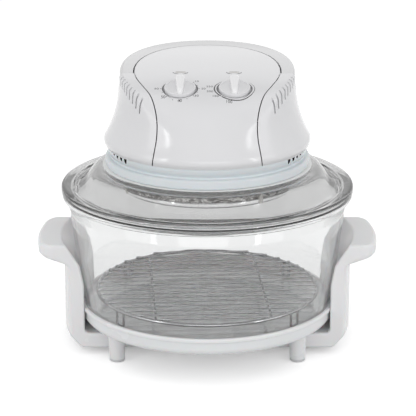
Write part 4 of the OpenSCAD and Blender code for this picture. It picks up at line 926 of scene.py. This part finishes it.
# Carry handle
# A broad U that folds flush round the back of the panel, in a slightly greyer white, and swings
# up on two steel pins. Its underside is hollow, with a rib over the safety switch.
handle_white = plastic("handle_white", (0.70, 0.70, 0.71), 0.2, 0.06, 500.0, 0.02, Coat_Weight=0.3, Coat_Roughness=0.1)
grip_form = head_form(0, SHELL_R - 1.4)
handle = cut(grip_form.copy(), handle_space(0), "INTERSECT")
trough = block(-200, 0, 0, 200, 300, 14.6, tilted(0, 14, BAND_LOW - 3, BAND_LEAN))
trough = cut(trough, arc_cone(2.5))
trough = cut(trough, prism(circle(0, 0, 94.8, 192), 200, 400), "INTERSECT")
trough = cut(trough, block(-4, 0, 200, 4, 200, 400))
handle = cut(handle, trough)
skin_normals(handle, grip_form)
lay("handle_bow", handle, "handle", handle_white, "handle_plastic", "carry_handle", crease=0)


# Head base ring
# The bluish white ring between lid and housing, with a rounded flange, a groove and a band with
# four groups of vent notches. The real one lets a little light through.
ring_white = plastic("ring_white", (0.70, 0.745, 0.77), 0.24, 0.06, 500.0, 0.02,
                     Subsurface_Weight=0.15, Subsurface_Scale=0.004)
ring_low, flange_r, flange_top, ring_top, ring_in_r = 212.3, 114.7, 222.7, 234.3, 94
ring = turned([
    (ring_in_r, ring_low), (flange_r, ring_low, 2.4), (flange_r, flange_top, 2.4), (109.2, 222.9, 0.6),
    (108.9, 224.8, 1.2), (111.5, 228.4, 3), (112.3, 231.8, 2), (112.3, ring_top, 0.4), (109.3, ring_top),
    (109.3, 227.7), (107, 227.7), (107, ring_top), (104, ring_top), (104, 214), (ring_in_r, 214)],
    closed=True, steps=224, arc=6)
upright = Matrix(((0, 0, 1, 0), (1, 0, 0, 0), (0, 1, 0, 0), (0, 0, 0, 1)))
vents_each, vent_from, vent_pitch, vent_half, vent_drop, vent_less = 5, 52.5, 4.4, 2.5, 6.0, 1.15
for end in (0, 180):
    for side in (-1, 1):
        for i in range(vents_each):
            a = math.radians(end + side * (90 - vent_from - vent_pitch * i) + (180 if side < 0 else 0))
            angles = np.linspace(-math.pi / 2, math.pi / 2, 13)
            arch = [(vent_half * math.sin(t), -(vent_drop - vent_less * i) * math.cos(t)) for t in angles]
            place = Matrix.Rotation(a, 4, "Z") @ Matrix.Translation((0, 0, EDGE)) @ upright
            ring = cut(ring, prism(arch + [(vent_half, 2), (-vent_half, 2)], 107.6, 124, place))
lay("vent_ring", ring, "lid", ring_white, "ring_plastic", "head_base_ring", crease=28)
# Painted shade: the side walls of the vent notches are coloured black, in place of the dark inside the vents.
vent_painted_shade = plastic("vent_painted_shade", (0.02, 0.02, 0.022), 0.5, 0.1, 500.0, 0.05)
ring.materials.append(vent_painted_shade)
for face in ring.polygons:
    away = face.center.xy.to_3d()
    in_band = 0.10935 < away.length < 0.1122 and 0.2283 < face.center.z < 0.23425
    if in_band and abs(face.normal.dot(away.normalized())) < 0.5:
        face.material_index = 1
# A thin black sheet behind the notches, which is painted shade and not a part of the oven.
shade_sheet = turned([(108.3, 227.9), (109.1, 227.9), (109.1, 234.2), (108.3, 234.2)], closed=True, steps=160)
lay("vent_baffle", shade_sheet, "lid", vent_painted_shade, "black_plastic")


# Dials
# Two white discs stand in the panel's recesses. A raised grip bar runs over each, broad and high
# at the back and drawn in towards the front.
disc_white = plastic("disc_white", (0.74, 0.74, 0.755), 0.14, 0.06, 600.0, 0.02, Coat_Weight=0.5, Coat_Roughness=0.05)
knob_white = plastic("knob_white", (0.90, 0.90, 0.91), 0.14, 0.06, 600.0, 0.02, Coat_Weight=0.5, Coat_Roughness=0.05)


def disc_mesh():
    rim, low, top = 17.2, -1.8, 2.2
    return turned([(0, low), (rim, low, 0.3), (rim, 2.6, 1.5), (15.2, 2.6, 0.5), (14.8, top, 0.5), (0, top)],
                  steps=96, arc=5)


def bar_mesh(rows=17):
    """The grip bar, lofted from its heel at the back to its nose at the front."""
    verts = []
    for u in np.linspace(0, 1, rows):
        y = 15.2 - 31.2 * u
        nose, heel = max(u - 0.84, 0) / 0.16, max(0.1 - u, 0) / 0.1
        half = (5.4 - 2.5 * u ** 0.8) * math.sqrt(1 - 0.62 * nose ** 2) - 0.7 * heel ** 2
        top = 9.8 - 2.6 * u - 2.4 * nose ** 2 - 0.6 * heel ** 2
        right = [(half * 0.6, top), (half, top - 0.9), (half + 0.5, 1.5)]
        verts += [Vector((x, y, z)) * MM for x, z in [(-x, z) for x, z in reversed(right)] + right]
    shape = in_scene("bar", swept(verts, 6, forward=True))
    soft = shape.modifiers.new("soft", "BEVEL")
    soft.width, soft.segments, soft.limit_method = 0.8 * MM, 3, "ANGLE"
    return settled(shape)


for side, label in ((-1, "timer"), (1, "thermostat")):
    disc = disc_mesh()
    knob = joined(disc, bar_mesh())
    place = at_dial(side)
    place.translation *= MM
    knob.transform(place)
    lay(label + "_disc", knob, label + "_dial", knob_white, "knob_plastic", label + "_knob", crease=35)
    knob.materials.append(disc_white)
    for face in knob.polygons[:len(disc.polygons)]:
        face.material_index = 1


# Heater
# Under the lid hangs the bright drum with its ring-shaped lamp, and below it the polished guard
# ring with a wire grille. Dark and light patches in the drum's colour, and the guard's bright middle
# band with dark edges, are painted reflection and shade.
def ramp_color(mat, value, stops):
    """Colours a material by a value between 0 and 1, through a ramp of stops."""
    tree = mat.node_tree
    ramp = join_in(tree, "ShaderNodeValToRGB", {0: value})
    last = len(stops) - 1
    for i, (at, color) in enumerate(stops):
        ends = ramp.color_ramp.elements
        stop = ends[0] if i == 0 else ends[-1] if i == last else ends.new(at)
        stop.position, stop.color = at, (*color, 1)
    tree.links.new(ramp.outputs[0], tree.nodes["Principled BSDF"].inputs["Base Color"])


drum_top, drum_wall_r, drum_low, sheet = 205.8, 89, 190, 1
drum_sheet = metal("crinkled_drum_painted_glints", (0.80, 0.79, 0.77), 0.24, 0.3, 130.0, (1, 1, 1.6), 1.0, 0.002)
tree = drum_sheet.node_tree
place = join_in(tree, "ShaderNodeTexCoord").outputs["Object"]
# Painted reflection and shade: noise patches colour the sheet dark grey or light, for the glints and dark facets of its
# crinkles.
crinkle_glints_and_shade = join_in(tree, "ShaderNodeTexNoise", {"Vector": place, "Scale": 120.0, "Detail": 3.0, "Distortion": 1.6})
ramp_color(drum_sheet, crinkle_glints_and_shade, ((0.40, (0.13, 0.12, 0.11)), (0.62, (0.82, 0.81, 0.79))))
drum = turned([
    (7, drum_top), (7, drum_top - sheet), (drum_wall_r - sheet, drum_top - sheet, 1),
    (drum_wall_r - sheet, drum_low, 0.2), (drum_wall_r, drum_low, 0.2), (drum_wall_r, drum_top, 1.5)],
    closed=True, steps=192, arc=4)
lay("drum_pressing", drum, "lid", drum_sheet, "drum_sheet", "heater_drum")

guard_low, guard_top, guard_lip, guard_in_r, guard_r = 184, 190, 193.4, 84.5, 89.8
polish = metal("polished_guard_painted_sheen", (0.90, 0.90, 0.90), 0.1, 0.08, 300.0, bump=0.05)
tree = polish.node_tree
height = join_in(tree, "ShaderNodeSeparateXYZ", {0: join_in(tree, "ShaderNodeTexCoord").outputs["Object"]})
up = join_in(tree, "ShaderNodeMapRange", {0: height.outputs[2], 1: guard_low * MM, 2: guard_lip * MM})
# Painted reflection and shade: by height, the guard is coloured dark at its foot, bright through the middle and dark
# again at its lip.
ramp_color(polish, up, [(at, (tone,) * 3) for at, tone in (
    (0.0, 0.25), (0.14, 0.55), (0.4, 0.95), (0.85, 0.9), (1.0, 0.3))])
guard = turned([
    (guard_in_r, guard_low, 0.6), (guard_r, guard_low, 2.4), (guard_r, guard_lip, 0.6), (89.2, guard_lip),
    (89.2, guard_top), (guard_in_r, guard_top, 0.6)], closed=True, steps=192, arc=7)
lay("guard_band", guard, "lid", polish, "chrome_wire", "guard_ring")


# Parts that keep their solid's own shape
# Steel, wire, ceramic and moulded parts inside the head and under the base, each with a finish.
finishes = {
    "plain_steel": metal("plated_steel", (0.60, 0.60, 0.62), 0.32, 0.2, 300.0),
    "chrome_wire": chrome,
    "fan_sheet": metal("pressed_fan", (0.72, 0.72, 0.73), 0.3, 0.2, 200.0),
    "bronze": metal("sintered_bronze", (0.55, 0.36, 0.20), 0.45, 0.2, 600.0, bump=0.3),
    "copper_wire": metal("copper_winding", (0.72, 0.33, 0.16), 0.35, 0.2, 900.0, (0.1, 1, 1), 0.8, 0.0005),
    "core_iron": metal("laminated_iron", (0.26, 0.27, 0.29), 0.5, 0.2, 900.0, (0.05, 0.05, 1), 0.8, 0.0005),
    "ceramic": plastic("fired_ceramic", (0.88, 0.86, 0.82), 0.55, 0.2, 700.0, 0.2),
    "shield_board": plastic("mica_board", (0.66, 0.58, 0.44), 0.6, 0.3, 220.0, 0.5),
    "black_plastic": plastic("black_moulding", (0.03, 0.03, 0.03), 0.4, 0.2, 900.0, 0.2),
    "timer_plastic": plastic("timer_case", (0.66, 0.62, 0.52), 0.45, 0.2, 700.0, 0.15),
    "plunger_plastic": plastic("red_plunger", (0.55, 0.05, 0.04), 0.35, 0.1),
    "gland_plastic": plastic("gland_moulding", (0.72, 0.72, 0.73), 0.4, 0.1),
    "seal_rubber": plastic("silicone_seal", (0.74, 0.74, 0.73), 0.6, 0.2, 900.0, 0.1),
    "lens_plastic": plastic("indicator_lens", (0.80, 0.78, 0.76), 0.15, 0.05, 600.0, 0.02, Transmission_Weight=0.3),
    "lamp_neon": plastic("neon_lamp", (0.85, 0.42, 0.25), 0.1, 0.05, 600.0, 0.02, Transmission_Weight=0.6),
    "lamp_glass": clear_glass("quartz_tube", (0.97, 0.96, 0.93), 0.1),
    "base_plastic": base_white, "shell_plastic": shell_white, "handle_plastic": handle_white,
    "ring_plastic": ring_white, "knob_plastic": knob_white, "clear_glass": bowl_glass,
    "drum_sheet": drum_sheet, "pad_rubber": pad_rubber,
}
for row in frame["record"]["subparts"]:
    solid = frame["nodes"][row["node"]]
    if not solid.material_slots:
        solid.data.materials.append(finishes[row["material_slot"]])
    for place in solid.material_slots:
        place.material = finishes[row["material_slot"]]
